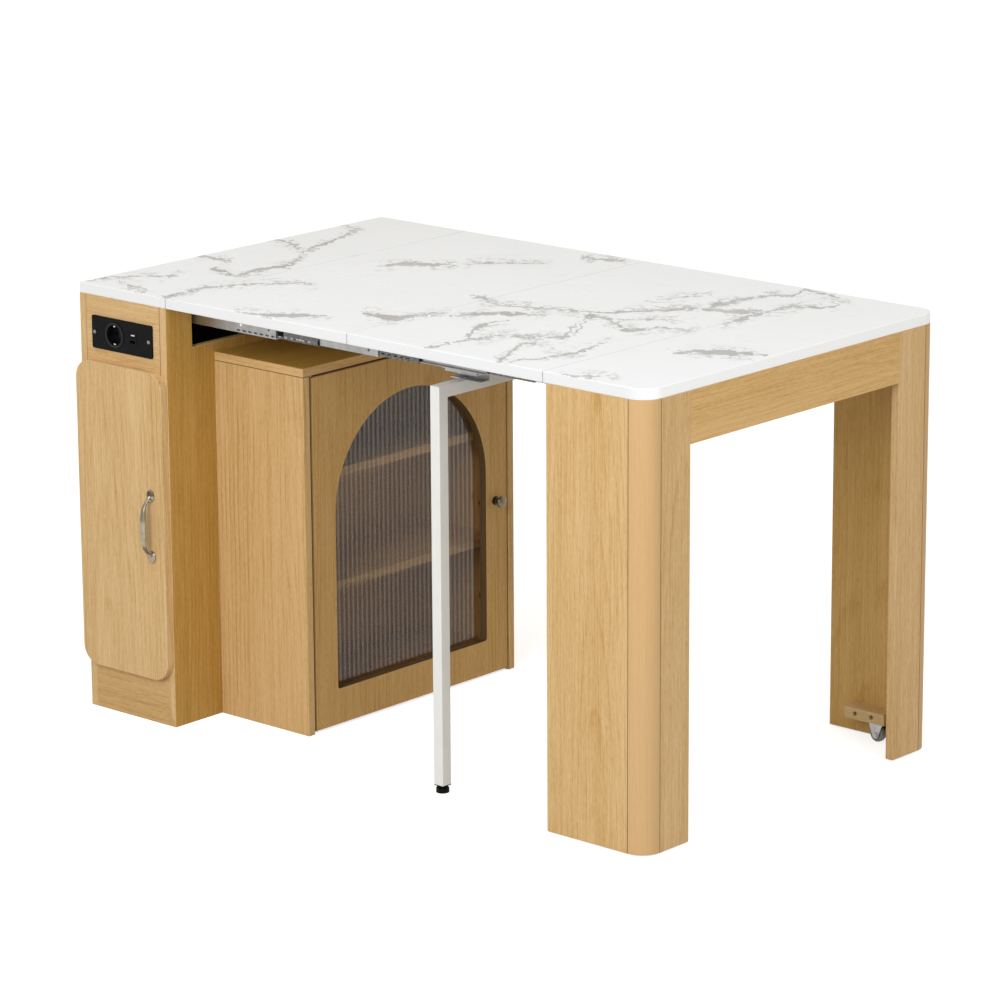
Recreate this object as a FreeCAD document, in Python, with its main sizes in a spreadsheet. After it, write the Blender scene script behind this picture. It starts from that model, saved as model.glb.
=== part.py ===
"""An extending kitchen island, drawn pulled out.

X runs along the extension, from the fixed tower at zero to the rolling end frame.
Y runs from the near long side at zero to the far one, and Z is up from the floor.
The geometry is laid out from the tower's near left corner on the floor, and every piece is
then placed so that the origin is on the floor, in the middle of the whole island's outline.
Lengths are in millimetres.
"""
import FreeCAD, Part
import math
import os
from types import SimpleNamespace

import Sketcher

document = FreeCAD.newDocument("KitchenIsland")
sheet = document.addObject("Spreadsheet::Sheet", "Sizes")

DRIVING_SIZES = [
    # the whole island
    ("overall_width", 900, "across the worktop, near side to far side"),
    ("overall_height", 900, "floor to worktop"),
    ("top_thickness", 22, "worktop boards"),
    ("board", 18, "carcass boards"),
    ("board_chamfer", 0.6, "eased edges of the carcass boards"),
    ("top_chamfer", 1.2, "eased edges of the worktop boards"),
    ("seam", 0.4, "gap between two worktop boards"),
    ("running_gap", 0.3, "gap under the loose leaves"),
    ("overrun", 1, "how far a cut runs past its board"),
    # tower
    ("tower_length", 250, "tower along the extension"),
    ("plinth_height", 98, "floor to the tower door"),
    ("tower_door_drop", 133, "underside of the worktop boards to the tower door"),
    ("tower_door_corner", 40, "rounded corners of the tower door"),
    ("tower_door_play", 1.5, "gap on the free side of the tower door"),
    ("bay_height", 91, "slide bay, under the worktop"),
    ("bay_board_drop", 27, "slide recess's lower edge to the board under the bay"),
    ("bay_margin", 73, "side panel left standing at each end of the slide recess"),
    ("liner", 3, "black hardboard in the slide bay, and the cabinet back"),
    ("partition_depth", 450, "near end to the partition behind the cupboard"),
    ("rail_overlap", 15, "tower door over the socket panel's lower edge"),
    ("shelf_setback", 20, "front edge of a shelf behind the carcass edge"),
    # socket unit
    ("plate_width", 175, "socket faceplate"),
    ("plate_height", 68, "socket faceplate"),
    ("plate_thickness", 3.2, "socket faceplate"),
    ("plate_corner", 4, "rounded corners of the faceplate"),
    ("plate_drop", 74.5, "centre of the faceplate under the worktop boards"),
    ("cup_offset", 21.5, "socket recess from the plate's centre"),
    ("cup_diameter", 43, "socket recess"),
    ("cup_depth", 17.5, "socket recess"),
    ("cup_rim_diameter", 52, "raised rim round the recess"),
    ("cup_rim_height", 1.4, "raised rim in front of the plate"),
    ("cup_wall", 1.5, "wall of the socket recess"),
    ("cup_floor", 3, "bottom of the socket recess"),
    ("contact_diameter", 5.4, "plug pin holes"),
    ("contact_spacing", 19, "plug pin holes, centre to centre"),
    ("clip_width", 4, "earth clips"),
    ("clip_thickness", 0.8, "earth clips"),
    ("clip_length", 13, "earth clips"),
    ("module_offset", 31, "charging module from the plate's centre"),
    ("module_side", 25, "charging module"),
    ("port_width", 14.4, "charging port"),
    ("port_height", 6.2, "charging port"),
    ("port_depth", 12, "charging port"),
    ("port_spacing", 13.4, "two charging ports, centre to centre"),
    ("module_depth", 16, "charging module behind the plate"),
    ("insert_play", 0.3, "gap round the inserts of the faceplate"),
    ("back_box_depth", 42, "box behind the faceplate"),
    ("back_box_margin", 8, "faceplate's edge to the back box"),
    ("back_box_wall", 2, "wall of the back box"),
    ("screw_head_diameter", 7.6, "plate screws"),
    ("screw_head_height", 1.6, "plate screws"),
    ("screw_shank_diameter", 3.5, "plate screws"),
    ("screw_shank_length", 14, "plate screws"),
    ("screw_spacing", 157, "plate screws, centre to centre"),
    ("screw_slot", 0.9, "slot in a screw head"),
    # tower door fittings
    ("handle_side", 38, "handle's centre line from the tower's right face"),
    ("handle_drop", 321, "top of the tower door to the handle's middle"),
    ("handle_spacing", 128, "handle feet, centre to centre"),
    ("handle_reach", 29, "door face to the outside of the grip"),
    ("grip_width", 16, "grip across, at its middle"),
    ("grip_depth", 9, "grip front to back, at its middle"),
    ("foot_width", 22, "handle foot"),
    ("foot_length", 28, "handle foot"),
    ("foot_thickness", 4, "handle foot"),
    ("hinge_height", 60, "tower door hinges"),
    ("hinge_inset", 90, "door's end to the hinge"),
    ("hinge_leaf", 1.5, "hinge leaves"),
    ("hinge_leaf_width", 15, "hinge leaves"),
    ("hinge_barrel_diameter", 6, "hinge barrel"),
    ("hinge_pin_diameter", 3, "hinge pin"),
    ("hinge_gap", 0.3, "play between knuckles and round the pin"),
    # low cabinet
    ("cabinet_inset", 134, "worktop's edge to the low cabinet, both sides"),
    ("cabinet_length", 250, "low cabinet along the extension"),
    ("slide_room", 110, "low cabinet to the underside of the leaves"),
    ("cabinet_floor_height", 40, "floor to the underside of the cabinet's floor board"),
    ("shelf_pin_diameter", 5, "shelf pins"),
    ("shelf_pin_length", 8, "shelf pins, out of the panel"),
    ("shelf_pin_inset", 40, "shelf pins from the shelf's ends"),
    ("cabinet_door_gap", 2.5, "gap round the cabinet door"),
    ("cabinet_door_foot", 6, "gap under the cabinet door"),
    ("arch_side", 67, "door's edge to the arched opening"),
    ("arch_foot", 75, "door's lower edge to the arched opening"),
    ("arch_head", 73, "door's upper edge to the arched opening"),
    ("arch_corner", 6, "lower corners of the arched opening"),
    ("pane_thickness", 3, "glass pane under its flutes"),
    ("pane_lap", 14, "glass pane behind the door's edge"),
    ("flute_pitch", 13.5, "glass flutes"),
    ("flute_rise", 1.4, "glass flutes"),
    ("glass_clip_length", 22, "clips that hold the pane"),
    ("glass_clip_width", 10, "clips that hold the pane"),
    ("glass_clip_thickness", 2, "clips that hold the pane"),
    ("pivot_setback", 5, "door pivots from the door's face and edge"),
    ("pivot_diameter", 5, "door pivots"),
    ("pivot_depth", 14, "door pivots in the door"),
    ("pivot_play", 0.3, "bore round a pivot, and under the door"),
    ("pivot_plate", 2.5, "lower pivot bracket"),
    ("pivot_leaf_height", 34, "lower pivot bracket, up the panel"),
    ("pivot_leaf_depth", 60, "lower pivot bracket, back from the door's face"),
    ("knob_side", 38, "knob from the free edge of the cabinet door"),
    ("knob_rise", 5.5, "knob over the middle of the cabinet door's height"),
    ("knob_diameter", 25.6, "knob"),
    ("knob_reach", 25, "knob in front of the door"),
    # slides
    ("slide_inset", 80, "worktop's edge to the fixed channel"),
    ("slide_start", 22, "left end of the fixed channel"),
    ("slide_end_gap", 2, "right end of the channels to the end frame's boards"),
    ("steel", 1.4, "channel wall"),
    ("channel_height", 43, "fixed channel"),
    ("channel_depth", 12.6, "fixed channel"),
    ("rear_channel_height", 35, "second outer channel"),
    ("rear_channel_depth", 12.6, "second outer channel"),
    ("lip", 4, "lips of the outer channels"),
    ("race", 3.2, "room for the balls between two channels"),
    ("first_cage_overlap", 112, "cage left inside the channel it runs out of, odd stages"),
    ("second_cage_overlap", 124, "cage left inside the channel it runs out of, even stages"),
    ("cage_length", 230, "ball cage"),
    ("cage_thickness", 0.8, "ball cage"),
    ("cage_window", 6, "ball window in a ball cage"),
    ("cage_pitch", 16, "windows in a ball cage"),
    ("cage_slot", 9, "slot in a ball cage's web, along it"),
    ("cage_slot_height", 4.4, "slot in a ball cage's web"),
    ("cage_slot_margin", 2.4, "cage's edge to the slots in its web"),
    ("rail_slot", 9.4, "slot at the edge of a fixed channel's web"),
    ("rail_slot_height", 3.8, "slot at the edge of a fixed channel's web"),
    ("rail_slot_margin", 3, "fixed channel's edge to the slots"),
    ("first_stroke", 275, "travel of each of the first two running channels"),
    ("batten_width", 18, "wooden battens that carry the slides"),
    ("batten_height", 40, "wooden battens that carry the slides"),
    # support
    ("tube", 23.5, "support tube, square"),
    ("tube_wall", 1.5, "support tube"),
    ("post_reach", 99.5, "right end of the centre channels to the support post's left face"),
    ("post_inset", 40, "worktop's edge to the support post"),
    ("arm_drop", 61, "underside of the leaves to the top of the cross arm"),
    ("glide_diameter", 26, "glide under the post"),
    ("glide_height", 16, "glide under the post"),
    ("glide_pad_height", 9, "glide's wide pad on the floor"),
    ("glide_neck_diameter", 14, "glide's neck over its pad"),
    ("glide_plug_height", 22, "glide's plug inside the post"),
    ("bracket_length", 80, "slide bracket"),
    ("bracket_steel", 2, "slide bracket"),
    ("bracket_height", 18, "slide bracket over the cross arm"),
    ("bracket_depth", 38, "slide bracket behind the slide"),
    ("bracket_flange", 24, "slide bracket, on the cross arm"),
    ("bracket_overhang", 18, "slide bracket left of the post"),
    # end frame
    ("leaf_length", 500, "loose leaf"),
    ("end_length", 250, "end worktop board"),
    ("corner_radius", 43, "outer corners of the end frame"),
    ("leg_setback", 8, "seam to the leg's side panel"),
    ("leg_width", 128, "worktop's edge to the leg's inner edge"),
    ("leg_clearance", 3, "floor to the legs"),
    ("apron_height", 102, "apron under the end board"),
    ("block_depth", 40, "caster blocks"),
    ("block_height", 24, "caster blocks"),
    ("block_lift", 42, "floor to the caster blocks"),
    ("block_bore", 9.5, "screw holes in the caster blocks"),
    ("near_block_start", 90, "end frame's face to the near caster block"),
    ("near_block_length", 46, "near caster block, short to let the support post stand beside it"),
    ("near_bore_spacing", 26, "screw holes in the near caster block"),
    ("far_block_start", 175, "end frame's face to the far caster block"),
    ("far_block_length", 100, "far caster block"),
    ("far_bore_spacing", 41, "screw holes in the far caster block"),
    ("far_bore_offset", 2.5, "middle of the screw holes, left of the far block's middle"),
    ("far_wheel_offset", 22, "caster axle, right of the far block's middle"),
    ("wheel_diameter", 32, "caster wheel"),
    ("wheel_width", 14, "caster wheel"),
    ("wheel_hub_width", 16, "caster wheel at its hub"),
    ("wheel_play", 0.5, "hub to the fork's cheek"),
    ("axle_diameter", 6, "caster axle"),
    ("axle_play", 0.2, "bore round the axle"),
    ("axle_head", 1.6, "axle's rivet heads"),
    ("axle_head_diameter", 10, "axle's rivet heads"),
    ("wheel_chamfer", 1.5, "edges of the wheel's tread"),
    ("fork_steel", 2, "caster fork"),
    ("fork_length", 34, "caster fork at its plate"),
    ("fork_boss", 8, "radius of the fork's cheek round the axle"),
]

HALF_TURN_DEGREES = 180
QUARTER_TURN_DEGREES = 90
SHELVES = 2
THIRDS = 3
FINE = 1e-6


class Length:
    """A length as a number, with the formula that the document keeps for it."""

    def __init__(self, number, formula):
        self.number = float(number)
        self.formula = formula

    def __add__(self, other):
        return Length(self.number + other.number, "(%s + %s)" % (self.formula, other.formula))

    def __sub__(self, other):
        return Length(self.number - other.number, "(%s - %s)" % (self.formula, other.formula))

    def __neg__(self):
        return Length(-self.number, "(-%s)" % self.formula)

    def __mul__(self, share):
        return Length(self.number * share, "(%s * %s)" % (self.formula, share))

    def __truediv__(self, share):
        return Length(self.number / share, "(%s / %s)" % (self.formula, share))


def fill_sheet():
    """Write the driving sizes into the sheet and give them as lengths."""
    lengths = {}
    for row, (alias, number, meaning) in enumerate(DRIVING_SIZES, start=1):
        sheet.set("A%d" % row, str(number))
        sheet.setAlias("A%d" % row, alias)
        sheet.set("B%d" % row, meaning)
        lengths[alias] = Length(number, "Sizes.%s" % alias)
    document.recompute()
    return SimpleNamespace(**lengths)


size = fill_sheet()
ZERO = Length(0, "0")
end_face = size.tower_length + size.leaf_length * 2 + size.end_length
outline_left = -size.hinge_barrel_diameter - size.hinge_gap
outline_near = -size.board - size.handle_reach
origin_x = (end_face + outline_left) / 2
origin_y = (size.overall_width + outline_near) / 2
pieces = []


def new_piece(name):
    """A body for one piece. It may hold several solids where fasteners or a pair share a node."""
    body = document.addObject("PartDesign::Body", name)
    body.Label = name
    body.AllowCompound = True
    body.setExpression("Placement.Base.x", (-origin_x).formula)
    body.setExpression("Placement.Base.y", (-origin_y).formula)
    pieces.append(body)
    return body


def bind_place(feature, corner):
    """Tie a feature's place to three lengths."""
    for axis, length in zip("xyz", corner):
        feature.setExpression("Placement.Base.%s" % axis, length.formula)


def block(body, name, low, high, cut=False):
    """A box between two corners, added to the body or cut from it."""
    kind = "PartDesign::SubtractiveBox" if cut else "PartDesign::AdditiveBox"
    feature = body.newObject(kind, name)
    for side, start, end in zip(("Length", "Width", "Height"), low, high):
        feature.setExpression(side, (end - start).formula)
    bind_place(feature, low)
    return feature


TURNS = {
    "x": FreeCAD.Rotation(FreeCAD.Vector(0, 1, 0), QUARTER_TURN_DEGREES),
    "y": FreeCAD.Rotation(FreeCAD.Vector(1, 0, 0), -QUARTER_TURN_DEGREES),
    "z": FreeCAD.Rotation(),
}


def rod(body, name, start, diameter, length, axis, cut=False):
    """A round bar from its start along one axis, added to the body or cut from it."""
    kind = "PartDesign::SubtractiveCylinder" if cut else "PartDesign::AdditiveCylinder"
    feature = body.newObject(kind, name)
    feature.setExpression("Radius", (diameter / 2).formula)
    feature.setExpression("Height", length.formula)
    feature.Placement = FreeCAD.Placement(FreeCAD.Vector(), TURNS[axis])
    bind_place(feature, start)
    return feature


def ease(body, amount):
    """Chamfer every edge of the body."""
    last = body.Tip
    feature = body.newObject("PartDesign::Chamfer", "eased_edges")
    feature.Base = (last, [])
    feature.UseAllEdges = True
    feature.setExpression("Size", amount.formula)
    return feature


def edges_along(shape, axis, near=None):
    """Names of a shape's straight edges along an axis, of those near given places across it."""
    names = []
    others = [a for a in "xyz" if a != axis]
    for index, edge in enumerate(shape.Edges, start=1):
        if edge.Curve.TypeId != "Part::GeomLine":
            continue
        if abs(abs(getattr(edge.Curve.Direction, axis)) - 1) > FINE:
            continue
        middle = edge.CenterOfMass
        spot = [getattr(middle, a) for a in others]
        if near is None or any(math.dist(spot, place) < size.overrun.number / 2 for place in near):
            names.append("Edge%d" % index)
    return names


def round_edges(body, axis, radius, near=None):
    """Round the body's straight edges along an axis."""
    document.recompute()
    last = body.Tip
    feature = body.newObject("PartDesign::Fillet", "rounded_corners")
    feature.Base = (last, edges_along(last.Shape, axis, near))
    feature.setExpression("Radius", radius.formula)
    return feature


def sketch_on(body, name, role, offset=ZERO):
    """A sketch on one of the body's origin planes, moved along the plane's normal."""
    sketch = body.newObject("Sketcher::SketchObject", name)
    plane = [part for part in body.Origin.OriginFeatures if part.Role == role][0]
    sketch.AttachmentSupport = [(plane, "")]
    sketch.MapMode = "FlatFace"
    sketch.setExpression("AttachmentOffset.Base.z", offset.formula)
    return sketch


def tie_value(sketch, index, length):
    """Tie a sketch dimension to a length."""
    sketch.setExpression("Constraints[%d]" % index, length.formula)


def tie_across(sketch, geometry, end, length, kind="DistanceX", axis=-2):
    """Hold a point of the sketch at one length from its upright axis."""
    if abs(length.number) < FINE:
        sketch.addConstraint(Sketcher.Constraint("PointOnObject", geometry, end, axis))
    elif length.number > 0:
        rule = Sketcher.Constraint(kind, -1, 1, geometry, end, length.number)
        tie_value(sketch, sketch.addConstraint(rule), length)
    else:
        rule = Sketcher.Constraint(kind, geometry, end, -1, 1, -length.number)
        tie_value(sketch, sketch.addConstraint(rule), -length)


def tie_up(sketch, geometry, end, length):
    """Hold a point of the sketch at one length from its level axis."""
    tie_across(sketch, geometry, end, length, "DistanceY", -1)


def tie_point(sketch, geometry, end, across, up):
    """Hold a point of the sketch at two lengths from its origin."""
    tie_across(sketch, geometry, end, across)
    tie_up(sketch, geometry, end, up)


def tie_radius(sketch, geometry, radius):
    """Hold the radius of a circle or an arc."""
    rule = Sketcher.Constraint("Radius", geometry, radius.number)
    tie_value(sketch, sketch.addConstraint(rule), radius)


def join_ends(sketch, links):
    """Join the ends of lines and arcs: geometry, end, geometry, end."""
    for first, first_end, second, second_end in links:
        sketch.addConstraint(Sketcher.Constraint("Coincident", first, first_end, second, second_end))


def draw_outline(sketch, corners):
    """A closed outline of straight lines through corners, each held by two lengths."""
    first = sketch.GeometryCount
    count = len(corners)
    spots = [FreeCAD.Vector(across.number, up.number, 0) for across, up in corners]
    for index in range(count):
        sketch.addGeometry(Part.LineSegment(spots[index], spots[(index + 1) % count]))
    for index in range(count):
        following = first + (index + 1) % count
        sketch.addConstraint(Sketcher.Constraint("Coincident", first + index, 2, following, 1))
    for index, (across, up) in enumerate(corners):
        tie_point(sketch, first + index, 1, across, up)


def pad(body, sketch, length):
    """Give a sketch its thickness along its normal."""
    feature = body.newObject("PartDesign::Pad", "thickness")
    feature.Profile = sketch
    feature.setExpression("Length", length.formula)
    return feature


def repeat(body, features, axis_role, pitch, count):
    """A row of copies of some features along one of the body's axes."""
    axis = [part for part in body.Origin.OriginFeatures if part.Role == axis_role][0]
    row = body.newObject("PartDesign::LinearPattern", "row")
    row.Originals = features
    row.Direction = (axis, [""])
    row.Mode = "Spacing"
    row.setExpression("Offset", pitch.formula)
    row.Occurrences = count
    body.Tip = row


def from_side(side, low, high):
    """Two places measured in from the near or the far long side, as a low and a high Y."""
    if side == "near":
        return low, high
    return size.overall_width - high, size.overall_width - low


SIDES = ("near", "far")
under_top = size.overall_height - size.top_thickness
bay_sill = under_top - size.bay_height
bay_floor = bay_sill - size.bay_board_drop + size.liner
inside_left = size.board
inside_right = size.tower_length - size.board
far_inside = size.overall_width - size.board


def board_piece(name, low, high, amount=None):
    """One board with eased edges."""
    body = new_piece(name)
    block(body, "blank", low, high)
    ease(body, amount or size.board_chamfer)
    return body


def build_tower():
    """The fixed cupboard at the left end, with its slide bay under the worktop."""
    board_piece("tower_left_panel", (ZERO, ZERO, ZERO), (size.board, size.overall_width, under_top))

    right = new_piece("tower_right_panel")
    block(right, "blank", (inside_right, ZERO, ZERO), (size.tower_length, size.overall_width, under_top))
    block(right, "slide_recess",
          (inside_right - size.overrun, size.bay_margin, bay_sill),
          (size.tower_length + size.overrun, size.overall_width - size.bay_margin,
           under_top + size.overrun), cut=True)
    ease(right, size.board_chamfer)

    board_piece("tower_far_panel", (inside_left, far_inside, ZERO),
                (inside_right, size.overall_width, under_top))

    bay_underside = bay_floor - size.liner - size.board
    panel = new_piece("tower_socket_panel")
    panel_low = under_top - size.tower_door_drop - size.rail_overlap
    block(panel, "blank", (inside_left, ZERO, panel_low), (inside_right, size.board, under_top))
    box_low, box_high = back_box_corners()
    block(panel, "socket_opening",
          (box_low[0] - size.insert_play, -size.overrun, box_low[2] - size.insert_play),
          (box_high[0] + size.insert_play, size.board + size.overrun,
           box_high[2] + size.insert_play), cut=True)
    for place in screw_places():
        rod(panel, "screw_hole", (place, -size.overrun, plate_level()),
            size.screw_shank_diameter + size.insert_play, size.board + size.overrun * 2, "y", cut=True)
    ease_outer_edges(panel)

    board_piece("tower_plinth", (inside_left, ZERO, ZERO),
                (inside_right, size.board, size.plinth_height))
    board_piece("tower_floor_board",
                (inside_left, size.board, size.plinth_height - size.board),
                (inside_right, far_inside, size.plinth_height))
    board_piece("tower_bay_board", (inside_left, size.board, bay_underside),
                (inside_right, far_inside, bay_floor - size.liner))
    board_piece("tower_partition",
                (inside_left, size.partition_depth, size.plinth_height),
                (inside_right, size.partition_depth + size.board, bay_underside))

    shelves = new_piece("tower_shelves")
    room = bay_underside - size.plinth_height - size.board * SHELVES
    for number in range(SHELVES):
        level = size.plinth_height + room * ((number + 1) / (SHELVES + 1)) + size.board * number
        block(shelves, "shelf_%d" % (number + 1),
              (inside_left, size.board + size.shelf_setback, level),
              (inside_right, size.partition_depth, level + size.board))
    ease(shelves, size.board_chamfer)

    liner = new_piece("bay_liner")
    lined_near = size.board
    block(liner, "liner_floor", (inside_left, lined_near, bay_floor - size.liner),
          (inside_right, far_inside, bay_floor))
    block(liner, "liner_wall", (inside_left, lined_near, bay_floor),
          (inside_left + size.liner, far_inside, under_top))

    battens = new_piece("fixed_slide_battens")
    for side in SIDES:
        low, high = from_side(side, size.slide_inset - size.batten_width, size.slide_inset)
        block(battens, "%s_batten" % side,
              (inside_left + size.liner, low, under_top - size.batten_height),
              (inside_right, high, under_top))

    board_piece("fixed_top", (ZERO, ZERO, under_top),
                (size.tower_length - size.seam / 2, size.overall_width, size.overall_height),
                size.top_chamfer)


def plate_middle():
    """X of the faceplate's centre."""
    return size.tower_length / 2


def plate_level():
    """Z of the faceplate's centre."""
    return under_top - size.plate_drop


def screw_places():
    """X of the two plate screws."""
    half = size.screw_spacing / 2
    return plate_middle() - half, plate_middle() + half


def back_box_corners():
    """Low and high corner of the box behind the faceplate."""
    half_width = size.plate_width / 2 - size.back_box_margin - size.screw_head_diameter
    half_height = size.plate_height / 2 - size.back_box_margin
    low = (plate_middle() - half_width, ZERO, plate_level() - half_height)
    high = (plate_middle() + half_width, size.back_box_depth, plate_level() + half_height)
    return low, high


def ease_outer_edges(body):
    """Chamfer only the long edges of a board that other cuts go through."""
    document.recompute()
    last = body.Tip
    box = last.Shape.BoundBox
    names = [
        name for name in edges_along(last.Shape, "x")
        if last.Shape.getElement(name).Length > box.XLength - size.board.number
    ]
    feature = body.newObject("PartDesign::Chamfer", "eased_edges")
    feature.Base = (last, names)
    feature.setExpression("Size", size.board_chamfer.formula)


def build_socket():
    """The black socket unit in the near end of the tower."""
    middle, level = plate_middle(), plate_level()
    cup_x = middle - size.cup_offset
    cup_outside = size.cup_diameter + size.cup_wall * 2
    module_x = middle + size.module_offset
    half_module = size.module_side / 2

    plate = new_piece("socket_faceplate")
    block(plate, "blank",
          (middle - size.plate_width / 2, -size.plate_thickness, level - size.plate_height / 2),
          (middle + size.plate_width / 2, ZERO, level + size.plate_height / 2))
    round_edges(plate, "y", size.plate_corner)
    rod(plate, "cup_hole", (cup_x, -size.plate_thickness - size.overrun, level),
        cup_outside + size.insert_play * 2, size.plate_thickness + size.overrun * 2, "y", cut=True)
    block(plate, "module_hole",
          (module_x - half_module - size.insert_play, -size.plate_thickness - size.overrun,
           level - half_module - size.insert_play),
          (module_x + half_module + size.insert_play, size.overrun,
           level + half_module + size.insert_play), cut=True)
    for place in screw_places():
        rod(plate, "screw_hole", (place, -size.plate_thickness - size.overrun, level),
            size.screw_shank_diameter + size.insert_play,
            size.plate_thickness + size.overrun * 2, "y", cut=True)

    front = -size.plate_thickness - size.cup_rim_height
    insert = new_piece("socket_insert")
    rod(insert, "rim", (cup_x, front, level), size.cup_rim_diameter, size.cup_rim_height, "y")
    rod(insert, "cup", (cup_x, front, level), cup_outside, size.cup_depth + size.cup_floor, "y")
    rod(insert, "recess", (cup_x, front - size.overrun, level), size.cup_diameter,
        size.cup_depth + size.overrun, "y", cut=True)
    for way in (-1, 1):
        rod(insert, "contact_hole", (cup_x + size.contact_spacing / 2 * way, front, level),
            size.contact_diameter, size.cup_depth + size.cup_floor + size.overrun, "y", cut=True)

    clips = new_piece("earth_clips")
    reach = size.cup_diameter / 2
    for way in (-1, 1):
        edge = level + (reach - size.running_gap) * way
        inner = edge - size.clip_thickness * way
        low, high = (edge, inner) if way < 0 else (inner, edge)
        block(clips, "clip",
              (cup_x - size.clip_width / 2, front + size.cup_depth - size.clip_length, low),
              (cup_x + size.clip_width / 2, front + size.cup_depth, high))

    module = new_piece("usb_module")
    module_front = -size.plate_thickness - size.cup_rim_height / 2
    block(module, "housing", (module_x - half_module, module_front, level - half_module),
          (module_x + half_module, size.module_depth, level + half_module))
    for way in (-1, 1):
        port_level = level + size.port_spacing / 2 * way
        block(module, "port",
              (module_x - size.port_width / 2, module_front - size.overrun,
               port_level - size.port_height / 2),
              (module_x + size.port_width / 2, module_front + size.port_depth,
               port_level + size.port_height / 2), cut=True)

    low, high = back_box_corners()
    box = new_piece("socket_back_box")
    wall = size.back_box_wall
    block(box, "housing", (low[0], size.overrun, low[2]), high)
    block(box, "hollow", (low[0] + wall, ZERO, low[2] + wall),
          (high[0] - wall, high[1] - wall, high[2] - wall), cut=True)

    screws = new_piece("socket_screws")
    head_front = -size.plate_thickness - size.screw_head_height
    for place in screw_places():
        rod(screws, "head", (place, head_front, level), size.screw_head_diameter,
            size.screw_head_height, "y")
        rod(screws, "shank", (place, -size.plate_thickness, level), size.screw_shank_diameter,
            size.screw_shank_length, "y")
    for place in screw_places():
        block(screws, "slot",
              (place - size.screw_slot / 2, head_front - size.overrun,
               level - size.screw_head_diameter),
              (place + size.screw_slot / 2, head_front + size.screw_head_height / 2,
               level + size.screw_head_diameter), cut=True)


def door_levels():
    """Z of the tower door's lower and upper edge."""
    return size.plinth_height, under_top - size.tower_door_drop


def build_tower_door():
    """The overlay door of the tower, its bow handle and its two hinges."""
    low, high = door_levels()
    door = new_piece("tower_door")
    block(door, "blank", (ZERO, -size.board, low),
          (size.tower_length - size.tower_door_play, ZERO, high))
    round_edges(door, "y", size.tower_door_corner)
    document.recompute()
    face = door.Tip
    outline = [
        "Edge%d" % index for index, edge in enumerate(face.Shape.Edges, start=1)
        if abs(edge.BoundBox.YMax + size.board.number) < FINE
    ]
    feature = door.newObject("PartDesign::Chamfer", "eased_edges")
    feature.Base = (face, outline)
    feature.setExpression("Size", size.top_chamfer.formula)

    build_handle(high - size.handle_drop)
    build_hinges(low, high)


# From one foot to the grip's middle: place along the grip from its middle, reach from the door,
# width and depth.
HALF_GRIP_SHARES = [
    (-1.0, 0.20, 0.62, 0.80),
    (-0.86, 0.48, 0.50, 0.66),
    (-0.66, 0.80, 0.60, 0.76),
    (-0.33, 0.96, 0.92, 0.96),
    (0.0, 1.0, 1.0, 1.0),
]


def build_handle(middle):
    """A bow handle: two round-ended feet, two necks and a grip that is thickest in its middle."""
    handle = new_piece("door_handle")
    centre = size.tower_length - size.handle_side
    half = size.handle_spacing / 2
    for way in (-1, 1):
        foot = middle + half * way
        sketch = sketch_on(handle, "foot_outline", "XZ_Plane", size.board)
        draw_slot(sketch, centre, foot, size.foot_width, size.foot_length)
        pad(handle, sketch, size.foot_thickness)
    other_half = [(-shares[0], *shares[1:]) for shares in HALF_GRIP_SHARES[-2::-1]]
    whole_grip = HALF_GRIP_SHARES + other_half
    sections = []
    reach = size.handle_reach - size.grip_depth / 2
    for place_share, reach_share, wide_share, thick_share in whole_grip:
        sketch = sketch_on(handle, "grip_section", "XY_Plane", middle + half * place_share)
        draw_oval(sketch, centre, -size.board - reach * reach_share,
                  size.grip_width * wide_share, size.grip_depth * thick_share)
        sections.append(sketch)
    document.recompute()
    loft = handle.newObject("PartDesign::AdditiveLoft", "grip")
    loft.Profile = sections[0]
    loft.Sections = sections[1:]


def draw_slot(sketch, across, up, width, length):
    """An upright slot outline: two straight sides and two half-round ends."""
    radius = width / 2
    rise = length / 2 - radius
    axis = FreeCAD.Vector(0, 0, 1)
    for way, start in ((1, 0), (-1, math.pi)):
        centre = FreeCAD.Vector(across.number, (up + rise * way).number, 0)
        circle = Part.Circle(centre, axis, radius.number)
        sketch.addGeometry(Part.ArcOfCircle(circle, start, start + math.pi))
    right = (across + radius).number
    left = (across - radius).number
    top, bottom = (up + rise).number, (up - rise).number
    sketch.addGeometry(Part.LineSegment(FreeCAD.Vector(left, top, 0), FreeCAD.Vector(left, bottom, 0)))
    sketch.addGeometry(Part.LineSegment(FreeCAD.Vector(right, bottom, 0), FreeCAD.Vector(right, top, 0)))
    join_ends(sketch, ((0, 2, 2, 1), (2, 2, 1, 1), (1, 2, 3, 1), (3, 2, 0, 1)))
    tie_point(sketch, 0, 3, across, up + rise)
    tie_point(sketch, 1, 3, across, up - rise)
    tie_radius(sketch, 0, radius)
    tie_radius(sketch, 1, radius)
    tie_up(sketch, 0, 2, up + rise)
    tie_up(sketch, 0, 1, up + rise)
    tie_up(sketch, 1, 1, up - rise)
    tie_up(sketch, 1, 2, up - rise)


def draw_oval(sketch, across, up, width, thickness):
    """An ellipse whose longer side lies across, held by its centre and its two half widths."""
    middle = FreeCAD.Vector(across.number, up.number, 0)
    side = FreeCAD.Vector((across + width / 2).number, up.number, 0)
    top = FreeCAD.Vector(across.number, (up + thickness / 2).number, 0)
    oval = sketch.addGeometry(Part.Ellipse(side, top, middle))
    sketch.exposeInternalGeometry(oval)
    long_axis, short_axis = oval + 1, oval + 2
    tie_point(sketch, oval, 3, across, up)
    sketch.addConstraint(Sketcher.Constraint("Horizontal", long_axis))
    for line, length in ((long_axis, width), (short_axis, thickness)):
        rule = Sketcher.Constraint("Distance", line, length.number)
        tie_value(sketch, sketch.addConstraint(rule), length)


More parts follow.
